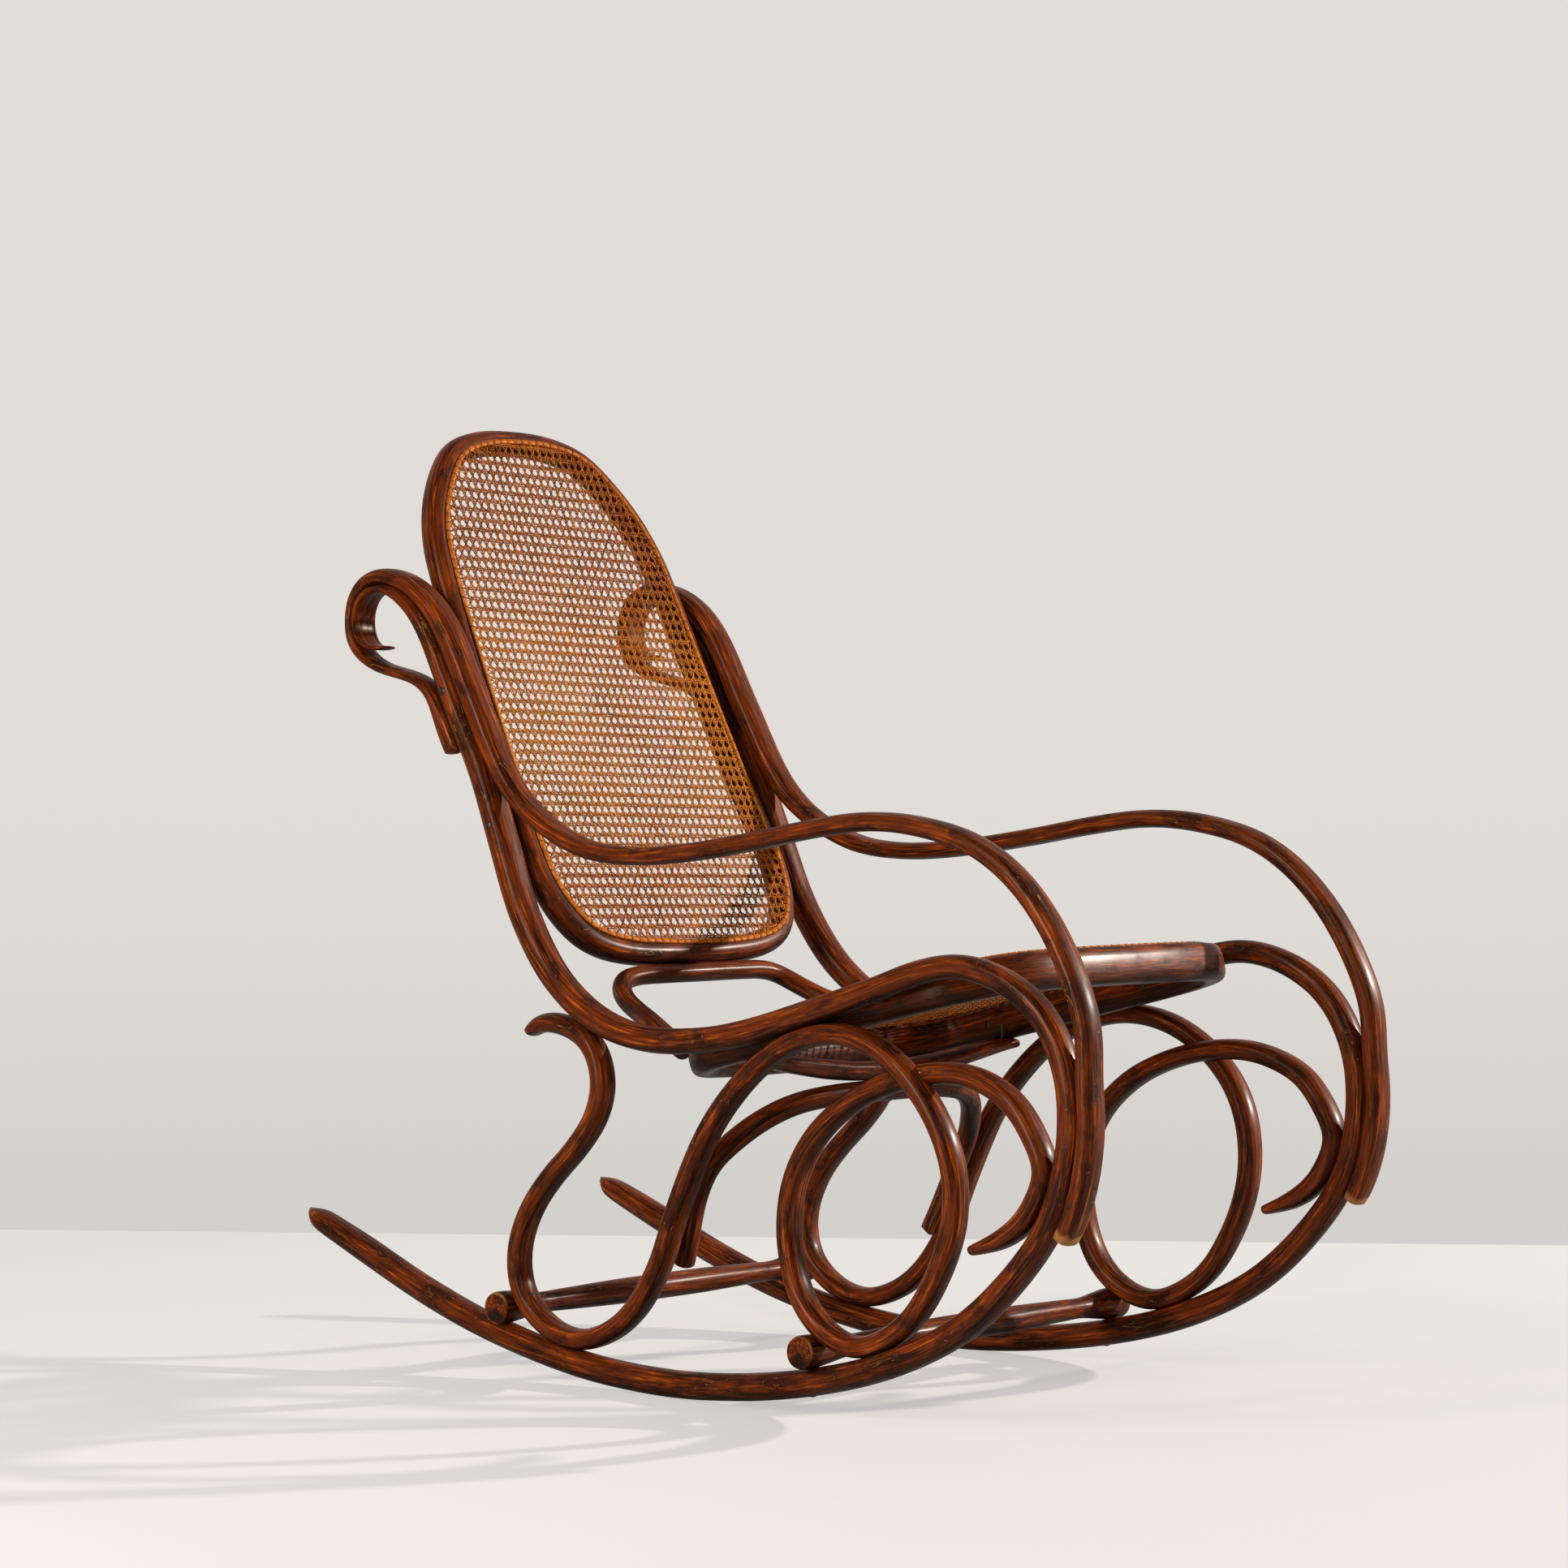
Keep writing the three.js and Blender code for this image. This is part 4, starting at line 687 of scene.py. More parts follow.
def mesh_of(name, points, faces, attributes=()):
    """A mesh of quads from its points and the four point numbers of every face."""
    mesh = bpy.data.meshes.new(name)
    mesh.vertices.add(len(points))
    mesh.vertices.foreach_set("co", points.astype(np.float32).ravel())
    mesh.loops.add(faces.size)
    mesh.loops.foreach_set("vertex_index", faces.astype(np.int32).ravel())
    mesh.polygons.add(len(faces))
    mesh.polygons.foreach_set("loop_start", np.arange(0, faces.size, 4, dtype=np.int32))
    mesh.polygons.foreach_set("use_smooth", np.ones(len(faces), bool))
    for label, values in attributes:
        layer = mesh.attributes.new(label, "FLOAT_VECTOR", "POINT")
        layer.data.foreach_set("vector", values.astype(np.float32).ravel())
    mesh.update(calc_edges=True)
    piece = bpy.data.objects.new(name, mesh)
    bpy.context.collection.objects.link(piece)
    return piece


def inset_border(outline, inset, skew):
    """The line of the drilled holes: the outline's curve moved inwards, further on the sitter's right
    and at the foot by the skew, with evenly spaced holes."""
    line = curve(outline, 1600, closed=True)
    step = np.roll(line, -1, 0) - np.roll(line, 1, 0)
    outward = np.stack([step[:, 1], -step[:, 0]], 1) / np.linalg.norm(step, axis=1)[:, None]
    if np.sum(outward * (line - line.mean(0))) < 0:
        outward = -outward
    depth = inset - skew * np.tanh(line[:, :1] / 0.1) + skew * smooth(1 - line[:, 1:] / 0.1)
    line = line - outward * depth
    s = along(np.vstack([line, line[:1]]))
    count = int(s[-1] / HOLE_PITCH)
    ring_of = np.vstack([line, line[:1]])
    at = np.arange(count) * s[-1] / count
    holes = np.stack([np.interp(at, s, ring_of[:, j]) for j in range(2)], 1)
    return line, holes


def weave_height(family, u, v):
    """How far a strand rides above the crosswise strands, which stay level. Diagonals: plus or minus
    the rise times cos(2 pi u / pitch across). Uprights: plus or minus the rise times
    1 + cos(2 pi v / pitch up)."""
    slanting = DIAGONAL_RISE * np.cos(2 * np.pi * u / PITCH_ACROSS)
    upright = UPRIGHT_RISE * (1 + np.cos(2 * np.pi * v / PITCH_UP))
    heights = {
        "rising": slanting, "falling": -slanting, "over": upright, "under": -upright, "level": 0 * u,
    }
    return heights[family]


def strands(panel, border, holes, lift, family, direction, period, offsets, number):
    """All parallel strands of one family: each is a line through the lattice from border to border,
    whose last stretch bends to the nearest drilled hole and dips into it. The section is a flat
    diamond."""
    turn = np.array([[math.cos(TURN), -math.sin(TURN)], [math.sin(TURN), math.cos(TURN)]])
    edge, drilled = border @ turn.T, holes @ turn.T
    across = np.array([-direction[1], direction[0]])
    beyond = (edge @ across)[None] - offsets[:, None]
    following = np.roll(beyond, -1, 1)
    meets = beyond * following < 0
    share = np.where(meets, beyond / np.where(meets, beyond - following, 1), 0)
    t_edge = edge @ direction
    t = t_edge[None] + share * (np.roll(t_edge, -1)[None] - t_edge[None])
    first = np.where(meets, t, 9).min(1)
    last = np.where(meets, t, -9).max(1)
    kept = last - first > 0.6 * HOLE_PITCH
    first, last, offsets = first[kept], last[kept], offsets[kept]
    pull = []
    for t_end in (first, last):
        ends = offsets[:, None] * across + t_end[:, None] * direction
        apart = np.linalg.norm(ends[:, None] - drilled[None], axis=2)
        pull.append(drilled[np.argmin(apart, 1)] - ends)
    pace = period / 4
    steps = np.arange(math.floor(first.min() / pace), math.ceil(last.max() / pace) + 1) * pace
    t = np.clip(steps[None], first[:, None], last[:, None])
    flat = offsets[:, None, None] * across + t[..., None] * direction
    rise = weave_height(family, flat[..., 0], flat[..., 1])
    rng = np.random.default_rng(number)
    sway = STRAND_SWAY * np.sin(t / HOLE_PITCH * 1.7 + rng.random(len(offsets))[:, None] * 6.3)
    flat = flat + sway[..., None] * across
    for away, offset in ((t - first[:, None], pull[0]), (last[:, None] - t, pull[1])):
        near = smooth(1 - away / (1.2 * HOLE_PITCH))
        flat = flat + near[..., None] * offset[:, None]
        rise = rise * (1 - near) - HOLE_DIP * np.exp(-((away / DIP_LENGTH) ** 2))
    step = np.gradient(flat, axis=1) + 1e-9 * direction
    side = np.stack([-step[..., 1], step[..., 0]], -1) / np.linalg.norm(step, axis=2)[..., None]
    section = np.array([[-1, 0], [0, 1], [1, 0], [0, -1]])
    width = STRAND_WIDE * (1 + 0.12 * rng.standard_normal(len(offsets)))[:, None, None, None] / 2
    spots = flat[:, :, None] + side[:, :, None] * section[:, 0][:, None] * width
    lifted = lift + rise[:, :, None] + section[:, 1] * STRAND_THICK / 2
    spots = spots @ turn
    points = panel.at(spots[..., 0], spots[..., 1], lifted)
    count, long = t.shape
    live = (steps[None, 1:] > first[:, None]) & (steps[None, :-1] < last[:, None])
    k, j = np.nonzero(live)
    m = np.arange(4)
    one = (k * long + j)[:, None] * 4
    faces = np.stack([one + m, one + (m + 1) % 4, one + 4 + (m + 1) % 4, one + 4 + m], -1).reshape(-1, 4)
    strand_number = np.broadcast_to(np.arange(count)[:, None, None] + 31.7 * number, points.shape[:3])
    far = np.broadcast_to((t + 0.37 * np.arange(count)[:, None])[..., None], points.shape[:3])
    sideways = np.broadcast_to(section[:, 0] * STRAND_WIDE / 2, points.shape[:3])
    grain = np.stack([far, sideways, strand_number], -1)
    return points.reshape(-1, 3), faces, grain.reshape(-1, 3)


def woven(name, parts, material, slot, *nodes):
    """One piece out of several families of strands, without the points that no strand uses."""
    start = np.cumsum([0] + [len(part[0]) for part in parts])
    faces = np.vstack([part[1] + first for part, first in zip(parts, start)])
    points = np.vstack([part[0] for part in parts])
    grain = np.vstack([part[2] for part in parts])
    used, numbers = np.unique(faces, return_inverse=True)
    piece = mesh_of(name, points[used], numbers.reshape(faces.shape), [("grain", grain[used])])
    return dress(piece, material, slot, *nodes)


def lattice(pitch, reach, first=0.0):
    """Offsets of a family's lines, a pitch apart, spread over a reach each way."""
    count = math.ceil(reach / pitch)
    return (np.arange(-count, count + 1) + first) * pitch


def cane_panel(name, panel, outline, inset, skew, lift, number):
    """The whole weave of a panel as three pieces: uprights, crosswise strands and diagonals."""
    border, holes = inset_border(outline, inset, skew)
    up, cross = np.array([0, 1.0]), np.array([1.0, 0])
    rising = unit(np.array([PITCH_ACROSS, PITCH_UP]))
    columns, rows = lattice(PITCH_ACROSS, 0.75), lattice(PITCH_UP, 0.75)
    slants = lattice(PITCH_ACROSS * PITCH_UP / PITCH_SLANT, 0.75, 0.5)

    def family(kind, way, period, offsets, seed):
        return strands(panel, border, holes, lift, kind, way, period, offsets, number + seed)

    uprights = [
        family("under", up, PITCH_UP, columns - PAIR_APART / 2, 1),
        family("over", up, PITCH_UP, columns + PAIR_APART / 2, 2),
    ]
    level = [
        family("level", cross, PITCH_ACROSS, rows - PAIR_APART / 2, 3),
        family("level", cross, PITCH_ACROSS, rows + PAIR_APART / 2, 4),
    ]
    slanting = [
        family("rising", rising, PITCH_SLANT, slants, 5),
        family("falling", rising * [1, -1], PITCH_SLANT, slants, 6),
    ]
    node = name + "_cane"
    woven(name + "_cane_uprights", uprights, cane, "cane", node)
    woven(name + "_cane_crosswise", level, cane, "cane", node)
    woven(name + "_cane_diagonals", slanting, cane, "cane", node)
    return border, holes


back_border, back_holes = cane_panel(
    "back", back, ring_outline, inset=0.0045, skew=0.002, lift=0.0144, number=10)
seat_border, seat_holes = cane_panel(
    "seat", seat, seat_outline, inset=0.003, skew=0.0, lift=0.0194, number=20)

# Binders. A wider strip of cane covers each row of holes, and a thin strand comes up through every
# hole, over the strip and down again, so the strip is pinched into a row of beads.
BINDER_WIDE = 0.0056
TIE_WIDE = 0.0017
TIE_THICK = 0.0008
STRIP_RISE = 0.0016
BEAD_STEPS = 10


def band(panel, centres, sideways, lengthways, profile, lifts, number):
    """Quads of a strip: at every place the profile (across, up) is set on the panel."""
    count = len(centres)
    m = len(profile)
    spots = centres[:, None] + sideways[:, None] * profile[None, :, :1]
    points = panel.at(spots[..., 0], spots[..., 1], lifts)
    k = np.arange(count)[:, None] * m
    j = np.arange(m)
    after = (np.arange(count)[:, None] + 1) % count * m
    faces = np.stack([k + j, k + (j + 1) % m, after + (j + 1) % m, after + j], -1).reshape(-1, 4)
    grain = np.stack(np.broadcast_arrays(lengthways[:, None], profile[None, :, 0], number), -1)
    return points.reshape(-1, 3), faces, grain.reshape(-1, 3)


def binder(name, panel, border, holes, lift, number):
    """The strip along the holes, w = w0 (1 - pinch) with a pinch at every hole, and the ties over it."""
    count = len(holes) * BEAD_STEPS
    loop = np.vstack([border, border[:1]])
    s = along(loop)
    at = np.arange(count) * s[-1] / count
    centres = np.stack([np.interp(at, s, loop[:, j]) for j in range(2)], 1)
    step = np.roll(centres, -1, 0) - np.roll(centres, 1, 0)
    sideways = np.stack([step[:, 1], -step[:, 0]], 1) / np.linalg.norm(step, axis=1)[:, None]
    pinch = np.abs(np.cos(np.pi * np.arange(count) / BEAD_STEPS)) ** 8
    across = np.array([-1, -0.9, -0.5, 0, 0.5, 0.9, 1])
    up = np.array([-0.35, 0.45, 0.9, 1, 0.9, 0.45, -0.35])
    half = BINDER_WIDE / 2 * (1 - 0.2 * pinch)
    lifts = lift + up[None] * (STRIP_RISE * (1 - 0.4 * pinch))[:, None]
    profile = np.stack([across * BINDER_WIDE / 2, up], 1)
    strip = band(panel, centres, sideways * (half / (BINDER_WIDE / 2))[:, None], at, profile, lifts, number)
    index = np.arange(len(holes)) * BEAD_STEPS
    forward = step[index] / np.linalg.norm(step[index], axis=1)[:, None]
    bow = np.linspace(-1.12, 1.12, 9)
    arch = 0.0021 * np.sqrt(np.maximum(1 - (bow / 1.13) ** 4, 0)) - 0.0008
    edge = np.array([[-1, 0], [0, 1], [1, 0], [0, -1]])
    rng = np.random.default_rng(number)
    lean = rng.normal(0, 0.16, len(holes))
    run = bow[None, :, None] * BINDER_WIDE / 2
    spots = (
        centres[index][:, None, None]
        + sideways[index][:, None, None] * run[..., None]
        + forward[:, None, None] * (edge[:, 0] * TIE_WIDE / 2 + lean[:, None, None] * run)[..., None]
    )
    tall = lift + arch[:, None] + edge[:, 1] * TIE_THICK / 2
    points = panel.at(spots[..., 0], spots[..., 1], np.broadcast_to(tall, spots.shape[:3]))
    grid = np.meshgrid(np.arange(len(holes)), np.arange(8), np.arange(4), indexing="ij")
    k, j, m = (g.ravel() for g in grid)
    one = (k * 9 + j) * 4
    faces = np.stack([one + m, one + (m + 1) % 4, one + 4 + (m + 1) % 4, one + 4 + m], 1)
    grain = np.stack(
        np.broadcast_arrays(run, edge[:, 0] * TIE_WIDE / 2, np.arange(len(holes))[:, None, None] + 50.0), -1
    )
    woven(name + "_binder_strip", [strip], binding, "binding", name + "_binder")
    woven(name + "_binder_ties", [(points.reshape(-1, 3), faces, grain.reshape(-1, 3))], cane, "cane",
          name + "_binder")


binder("back", back, back_border, back_holes, lift=0.0146, number=41)
binder("seat", seat, seat_border, seat_holes, lift=0.0196, number=42)

# Hoop. A thin rod bent into a U: its bar is screwed under the foot of the back ring, and its two legs
# come down and forward to the rear of the seat rim.
HOOP_ROD = 0.02
HOOP_INSET = 0.016
hoop_shares = [
    [0, 0, 0], [0.32, 0, 0], [0.53, 0.005, 0.01], [0.645, 0.02, 0.06], [0.715, 0.08, 0.15],
    [0.77, 0.19, 0.27], [0.81, 0.35, 0.39], [0.88, 0.62, 0.54], [0.95, 0.92, 0.74], [1, 1.12, 0.86],
]


def mirrored(knots):
    """A row of knots from the middle of the chair out, with its mirror image before it."""
    return np.vstack([knots[:0:-1] * [1, -1, 1], knots])


def cross_rod(name, knots, thick, wide, across, node, seed, squareness=2.15, spread=0.006):
    """A rod that runs across the chair from side to side through mirrored knots."""
    line = curve(mirrored(knots), SAMPLES) + SHIFT
    sizes = np.stack([np.broadcast_to(thick, SAMPLES), np.broadcast_to(wide, SAMPLES)], 1)
    points, sizes = faired(line, sizes, spread=spread)
    dress(rod(name, points, sizes, across, squareness=squareness, seed=seed), beech, "beech", node)


hoop_top = back.at(0.0, -(RING_ROD + HOOP_ROD) / 2 + SADDLE) - SHIFT
hoop_run = seat.at(0.0, 0.0) - SHIFT - hoop_top
hoop_half = seat_half(0) - HOOP_INSET
hoop_knots = np.array([
    [hoop_top[0] + s * hoop_run[0], y * hoop_half, hoop_top[2] + down * hoop_run[2]]
    for y, s, down in hoop_shares
])
hoop_normal = unit(np.cross([0, 1, 0], hoop_run))
cross_rod("back_hoop_rod", hoop_knots, HOOP_ROD, HOOP_ROD, hoop_normal, "back_hoop", 21)

# Arch. A round rod whose legs stand against the inner sides of the scrolls, under the seat.
ARCH_ROD = 0.022
arch_shares = [
    [0.945, -0.058, 0.153], [0.975, -0.033, 0.193], [1, 0.001, 0.2495], [0.985, 0.033, 0.287],
    [0.9, 0.07, 0.318], [0.79, 0.102, 0.341], [0.645, 0.126, 0.3565], [0.42, 0.141, 0.3645],
    [0, 0.147, 0.3665],
]
touch = [arch_shares[2][1] * SIDE_REACH, 0, arch_shares[2][2] * SIDE_RISE]
joint = scroll_line[np.argmin(np.linalg.norm(scroll_line - touch, axis=1))]
arch_half = frame_half(joint[0], joint[2]) - (SCROLL_WIDE + ARCH_ROD) / 2 + SADDLE
arch_knots = np.array([[x * SIDE_REACH, y * arch_half, z * SIDE_RISE] for y, x, z in arch_shares])[::-1]
cross_rod("arch_rod", arch_knots, ARCH_ROD, ARCH_ROD, np.array([1.0, 0, 0]), "arch", 23)

# Bow. A flat-ended rod that rests on the crown of the arch and is screwed up into both sides of the
# seat rim, which holds the seat down on the arch.
BOW_THICK = 0.02
BOW_WIDE = 0.024
bow_shares = [
    [0, 1, 1, 1], [0.25, 0.93, 1, 1], [0.5, 0.66, 1, 1], [0.78, 0.22, 0.85, 1.05],
    [0.94, 0.02, 0.6, 1.25], [1.03, 0, 0.5, 1],
]
bow_along = (arch_knots[0, 0] - (seat.origin - SHIFT)[0]) / seat_up[0]
bow_end = (seat.at(0.0, bow_along, -SEAT_TALL / 2) - SHIFT)[2] - BOW_THICK * bow_shares[4][2] / 2 + SADDLE
bow_middle = arch_knots[0, 2] + (ARCH_ROD + BOW_THICK) / 2 - SADDLE
bow_knots = np.array([
    [arch_knots[0, 0], y * seat_half(bow_along), bow_end + down * (bow_middle - bow_end)]
    for y, down, thick, wide in bow_shares
])
bow_rows = bow_shares[:0:-1] + bow_shares
cross_rod(
    "bow_rod", bow_knots, BOW_THICK * column(bow_rows, 2, SAMPLES), BOW_WIDE * column(bow_rows, 3, SAMPLES),
    np.array([1.0, 0, 0]), "bow", 25, squareness=2.7,
)

# Stretchers. Two rods turned on a lathe, thick in the middle, with a waist and a round knob at each
# end. They lie on the runners and under the scrolls, and a screw comes into each end from both.
stretcher_shares = [
    [0.82, 0], [0.8, 0.28], [0.69, 0.6], [0.655, 0.74], [0.82, 0.83], [0.97, 0.91], [1, 0.985],
    [0.93, 1],
]


def turned_rod(name, place, end, node, seed):
    """The profile (radius, distance from the middle) turned about the axis across the chair."""
    half = curve([[r * STRETCHER_END / 2, y * end] for r, y in stretcher_shares], 150)
    half = np.vstack([half, [[half[-1, 0] * 0.7, end], [half[-1, 0] * 0.3, end], [0.0002, end]]])
    profile = np.vstack([half[:0:-1] * [1, -1], half])
    angle = np.linspace(0, 2 * np.pi, 48, endpoint=False)
    x = place[0] + SHIFT[0] + profile[:, :1] * np.cos(angle)
    z = place[2] + SHIFT[2] + profile[:, :1] * np.sin(angle)
    y = np.broadcast_to(profile[:, 1:], x.shape)
    rings = np.stack([x, y, z], -1)
    grain = np.stack([y + 3 * seed, x - place[0] + 0.07 * seed, z - place[2]], -1)
    from_end = (end - np.abs(y)) / 0.0025
    from_rim = (profile[:, :1] - STRETCHER_END / 2) / 0.002
    rim_wear = 0.6 * np.exp(-(from_end**2) - from_rim**2)
    # How far the surface faces down; the beech finish paints shade from it.
    under = np.broadcast_to(np.clip(-np.sin(angle), 0, 1), x.shape)
    piece = grid_mesh(name, rings, attributes=[
        ("grain", "FLOAT_VECTOR", grain), ("worn", "FLOAT", rim_wear), ("under", "FLOAT", under)])
    piece.data.set_sharp_from_angle(angle=math.radians(50))
    return dress(piece, beech, "beech", node)


for seed, (name, (place, end)) in enumerate(stretchers.items()):
    turned_rod(name + "_stretcher_rod", place, end, name + "_stretcher", 27 + seed)

# Screws. Iron wood screws with slotted domed heads, each in a flat dark ring laid on the rod, painted
# shade that stands for a counterbore; no hole is cut. Each is built on the axis of its CAD screw: from
# there come its place, its direction and its length.
HEAD = 0.0036
HEAD_DOME = 0.00085
HEAD_WALL = 0.0008
HEAD_ROWS = 15
SLOT_HALF = 0.00055
SHANK = 0.0023
RIM = 0.0001
LIP_WIDE = 0.0009
LIP_PLACES = 28
SUNK = 0.001
RUNNER_PROUD = 0.0023


def iron_finish(name, colour, metallic, rough):
    """A mottled dark finish, for the old iron of a screw and for the painted shade of a counterbore."""
    f = Finish(name, Specular_IOR_Level=0.3, Metallic=metallic)
    place = f.node("ShaderNodeTexCoord", output=3)
    mottle = f.noise(f.scaled(place, (700, 700, 700)), 3)
    pale = tuple(min(c * 2.6, 1) for c in colour) + (1,)
    tone = f.mix(mottle.ramp(0.42, 0.66), tuple(colour) + (1,), pale)
    return f.feed(Base_Color=tone, Roughness=rough + mottle * 0.25)


iron = iron_finish("iron", (0.035, 0.026, 0.02), 1.0, 0.3)
counterbore_shade = iron_finish("counterbore_shade", (0.008, 0.004, 0.003), 0.0, 0.6)


def revolved(profile, places=20):
    """A profile (radius, height) turned about Z, as rings of points."""
    angle = np.linspace(0, 2 * np.pi, places, endpoint=False)
    r, z = np.asarray(profile, float).T
    return np.stack([r[:, None] * np.cos(angle), r[:, None] * np.sin(angle), z[:, None] + 0 * angle], -1)


def head_half(sign):
    """Half of a slotted head on one side of the slot: x from the slot's edge to the rim, over
    heights of a shallow dome, then down the wall."""
    y = np.linspace(-1, 1, HEAD_ROWS)[:, None] * math.sqrt(HEAD**2 - SLOT_HALF**2)
    reach = np.sqrt(np.maximum(HEAD**2 - y**2, SLOT_HALF**2))
    share = np.array([0, 0, 0.2, 0.45, 0.7, 0.88, 1, 1])[None]
    x = SLOT_HALF + share * (reach - SLOT_HALF)
    r2 = (x**2 + y**2) / HEAD**2
    z = RIM + HEAD_DOME * (1 - r2)
    z[:, [0, -1]] = -HEAD_WALL
    return np.stack([sign * x, np.broadcast_to(y, x.shape), z], -1)


rods = [o for o in bpy.context.scene.objects if o.name.endswith("_rod")]
for name, node in frame["nodes"].items():
    if "screw" not in name:
        continue
    co = np.empty(len(node.data.vertices) * 3, np.float32)
    node.data.vertices.foreach_get("co", co)
    co = co.reshape(-1, 3).astype(float)
    centre = co.mean(0)
    axis = np.linalg.svd(co - centre)[2][0]
    t = (co - centre) @ axis
    radius = np.linalg.norm(co - centre - t[:, None] * axis, axis=1)
    if t[radius > 0.8 * radius.max()].mean() < 0:
        axis, t = -axis, -t
    surface = t.max() + (RUNNER_PROUD if "runner" in name else -SUNK)
    length = surface - t.min()
    side = unit(np.cross(axis, [0.31, 0.2, 0.93]))
    basis = np.array([side, np.cross(axis, side), axis])
    shank = revolved([[0.0002, -length], [SHANK, -length + 0.004], [SHANK, -HEAD_WALL]])
    parts = [head_half(1), head_half(-1), shank]
    points = np.vstack([part.reshape(-1, 3) for part in parts])
    half = HEAD_ROWS * 8
    left, right = grid_faces(HEAD_ROWS, 8, False), grid_faces(HEAD_ROWS, 8, False, half)
    faces = np.vstack([left, right[:, ::-1], grid_faces(3, 20, first=2 * half)])
    piece = mesh_of(name + "_iron", points @ basis + centre + surface * axis, faces)
    dress(piece, iron, "screws", name)
    # A flat dark ring laid round the head on the rod: painted shade of a counterbore.
    ring_at = revolved([[0.001, RIM], [HEAD, 2 * RIM], [HEAD + LIP_WIDE, 2 * RIM]], LIP_PLACES)
    hole = mesh_of(name + "_recess", ring_at.reshape(-1, 3) @ basis + centre + surface * axis,
                   grid_faces(3, LIP_PLACES))
    dress(hole, counterbore_shade, "screws", name)
    group = hole.vertex_groups.new(name="lip")
    group.add(range(LIP_PLACES, 3 * LIP_PLACES), 1.0, "REPLACE")
    wrap = hole.modifiers.new("wrap", "SHRINKWRAP")
    at = Vector(centre + surface * axis)
    wrap.target = min(rods, key=lambda o: (o.closest_point_on_mesh(at)[1] - at).length)
    wrap.vertex_group = "lip"
    wrap.offset = 0.00012

# The studio. A pale floor up to a pale wall. A small warm lamp far off on the right throws the shadows;
# a weak soft one by the camera and an upright strip on the left light the front. The world adds faint
# light from all round, and is what the camera sees as the wall.
CAMERA = np.array([2.7691, -3.3647, 0.607])
VIEW = np.array([-0.6428, 0.766, 0])
RIGHT = np.array([0.766, 0.6428, 0])

lens = bpy.data.cameras.new("camera")
lens.lens = 96.9
lens.sensor_width = 36
viewer = bpy.data.objects.new("camera", lens)
viewer.location = CAMERA
viewer.rotation_euler = (math.pi / 2, 0, math.radians(40))
bpy.context.collection.objects.link(viewer)
bpy.context.scene.camera = viewer

foot = CAMERA * [1, 1, 0]
# Distances from the camera's foot, ahead and to the right. The last two are where the wall stands.
FLOOR_CORNERS = ((-4, -8), (-4, 8), (4.89, 8), (6.41, -8))
corners = [foot + VIEW * ahead + RIGHT * aside for ahead, aside in FLOOR_CORNERS]
floor = mesh_of("floor", np.array(corners), np.array([[0, 1, 2, 3]]))
plain = Finish("floor", Roughness=0.7, Specular_IOR_Level=0.2)
place = plain.node("ShaderNodeTexCoord", output=3)
drift = plain.noise(plain.scaled(place, (0.7, 0.7, 0.7)), 2)
plain.feed(Base_Color=plain.mix(drift, (0.6, 0.594, 0.582, 1), (0.64, 0.634, 0.622, 1)))
# To the camera the floor is partly a plain colour, which keeps its shadows pale.
PLAIN_SHARE = 0.52
seen = plain.node("ShaderNodeLightPath", output=0)
glow = plain.node("ShaderNodeEmission", Color=(0.93, 0.915, 0.9, 1), Strength=1.0)
lit = Socket(plain.tree, plain.shader.outputs[0])
blend = plain.node("ShaderNodeMixShader", i0=seen * PLAIN_SHARE, i1=lit, i2=glow)
plain.tree.links.new(blend.link, plain.tree.nodes["Material Output"].inputs["Surface"])
floor.data.materials.append(plain.material)


def lamp(name, place, target, width, height, power, colour):
    """A rectangular light at a place, turned to a target."""
    data = bpy.data.lights.new(name, "AREA")
    data.shape, data.size, data.size_y, data.energy, data.color = "RECTANGLE", width, height, power, colour
    light = bpy.data.objects.new(name, data)
    light.location = place
    aim = Vector(target) - light.location
    light.rotation_euler = aim.to_track_quat("-Z", "Y").to_euler()
    bpy.context.collection.objects.link(light)


lamp("key", (4.63, 5.92, 3.24), (0, 0, 0.5), 0.25, 0.25, 1000, (1, 0.92, 0.82))
lamp("front", (3.9, -2.9, 2.9), (0, 0, 0.5), 1.2, 1.2, 20, (1, 0.97, 0.93))
lamp("strip", (-0.36, -3.0, 1.3), (0, 0, 0.5), 0.25, 2.0, 82, (1, 0.9, 0.74))

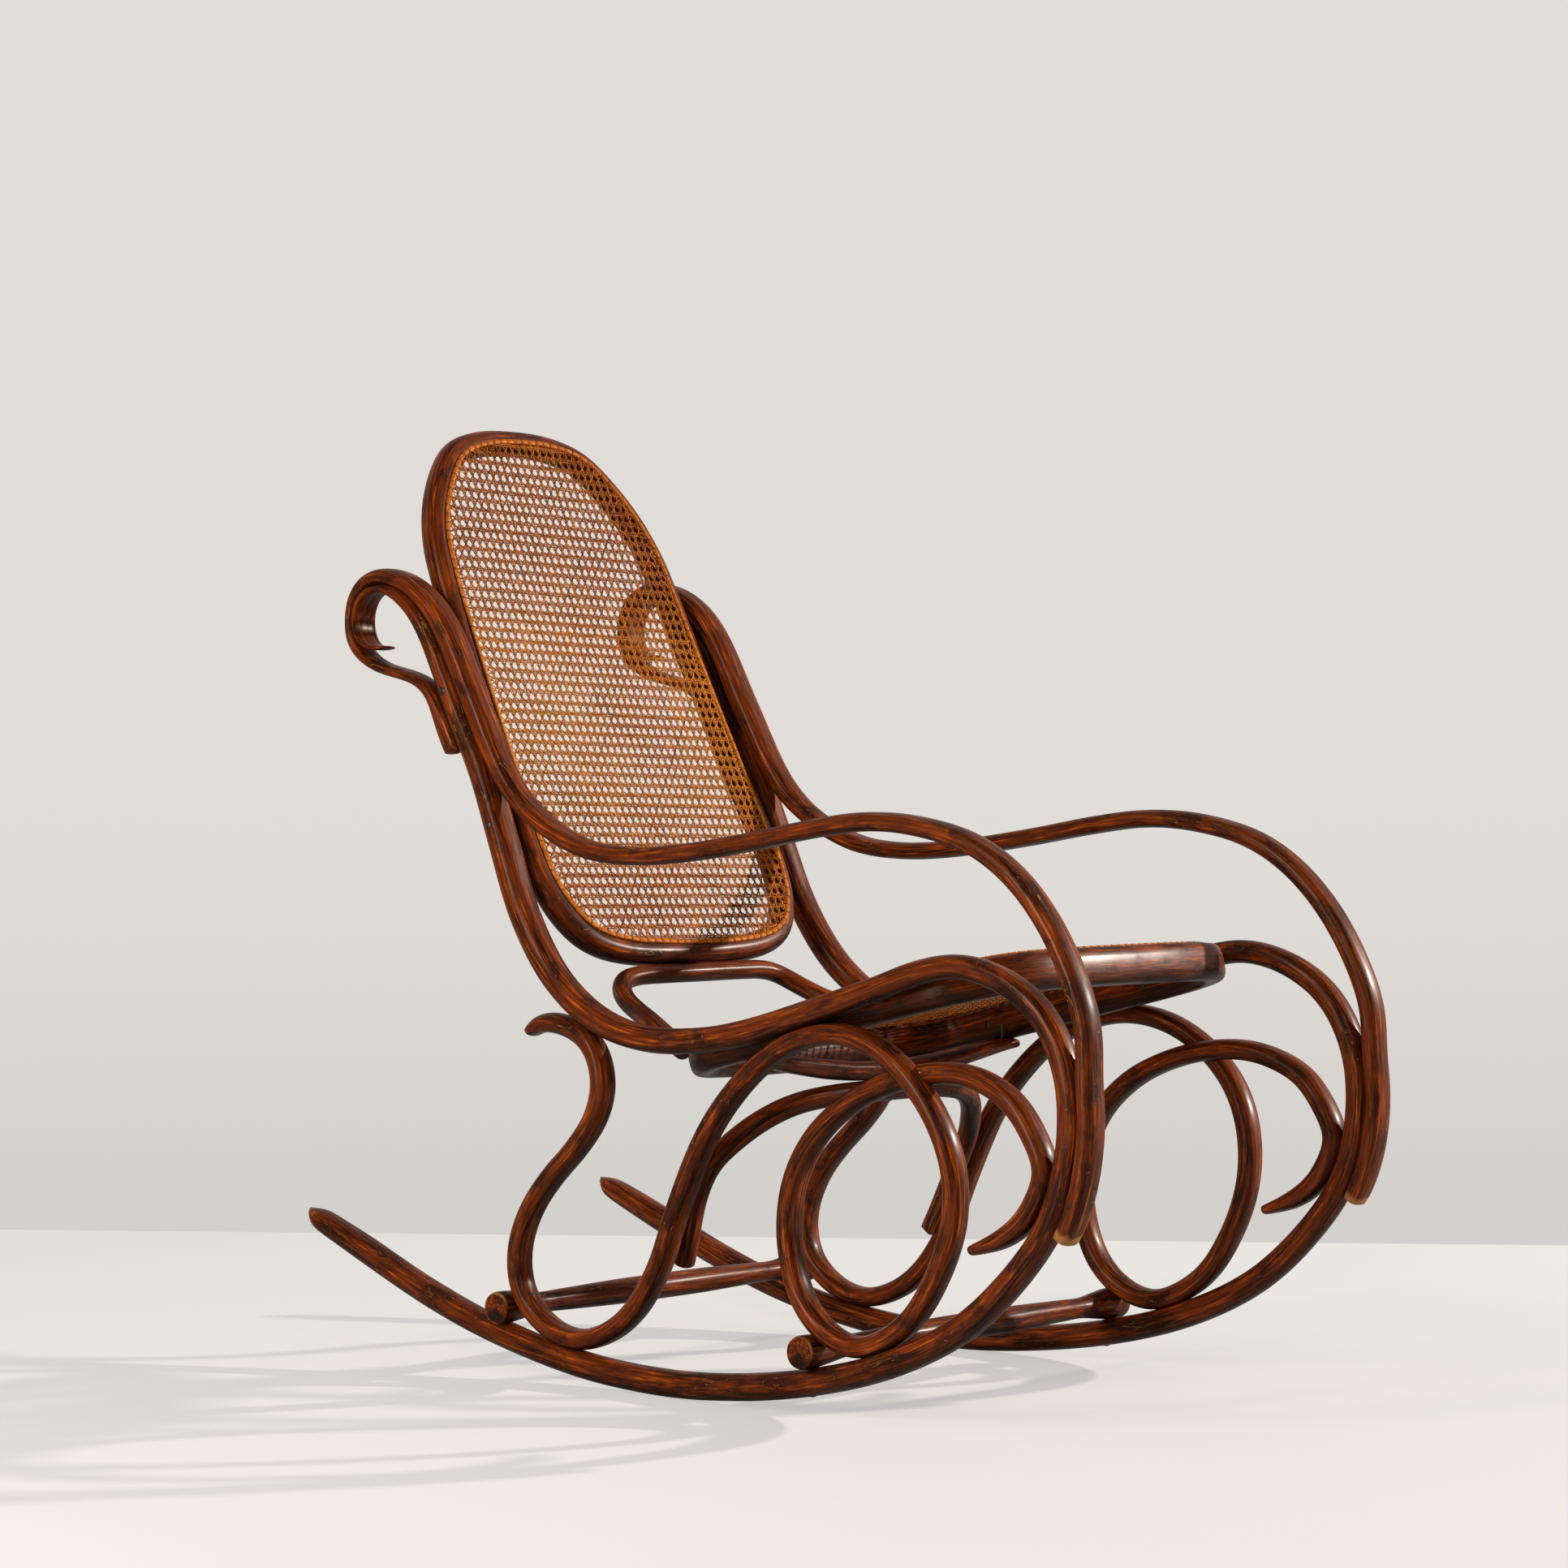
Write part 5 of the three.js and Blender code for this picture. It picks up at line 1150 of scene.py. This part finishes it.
world = bpy.data.worlds.new("world")
world.use_nodes = True
tree = world.node_tree


def sky(low, high, along, start, stop):
    """A colour that goes from low to high with how far the direction looked in points along another."""
    place = tree.nodes.new("ShaderNodeTexCoord")
    share = tree.nodes.new("ShaderNodeVectorMath")
    share.operation = "DOT_PRODUCT"
    share.inputs[1].default_value = along
    tree.links.new(place.outputs["Generated"], share.inputs[0])
    ramp = tree.nodes.new("ShaderNodeMapRange")
    ramp.interpolation_type = "SMOOTHSTEP"
    ramp.inputs["From Min"].default_value, ramp.inputs["From Max"].default_value = start, stop
    tree.links.new(share.outputs["Value"], ramp.inputs["Value"])
    mix = tree.nodes.new("ShaderNodeMix")
    mix.data_type = "RGBA"
    for i, end in ((6, low), (7, high)):
        if isinstance(end, tuple):
            mix.inputs[i].default_value = end
        else:
            tree.links.new(end, mix.inputs[i])
    tree.links.new(ramp.outputs[0], mix.inputs[0])
    return mix.outputs[2]


def background(colour):
    """A world background of a colour."""
    shader = tree.nodes.new("ShaderNodeBackground")
    tree.links.new(colour, shader.inputs["Color"])
    return shader.outputs[0]


shown = background(sky((0.09, 0.09, 0.09, 1), (0.36, 0.36, 0.36, 1), (0, 0, 1), 0.0, 0.95))
# The wall is darker towards the floor line: painted shade.
wall = sky((0.64, 0.625, 0.6, 1), (0.75, 0.725, 0.685, 1), (0, 0, 1), -0.125, 0.0)
# Reflections see the wall only on the side behind the chair, and a dark room on the camera's side.
room = background(sky((0.05, 0.05, 0.05, 1), wall, tuple(VIEW), -0.1, 0.5))
path = tree.nodes.new("ShaderNodeLightPath")
seen_by = {"Is Glossy Ray": room, "Is Transmission Ray": room, "Is Camera Ray": background(wall)}
for kind, shader in seen_by.items():
    choose = tree.nodes.new("ShaderNodeMixShader")
    tree.links.new(path.outputs[kind], choose.inputs[0])
    tree.links.new(shown, choose.inputs[1])
    tree.links.new(shader, choose.inputs[2])
    shown = choose.outputs[0]
tree.links.new(shown, tree.nodes["World Output"].inputs["Surface"])
bpy.context.scene.world = world
bpy.context.scene.view_settings.view_transform = "Standard"
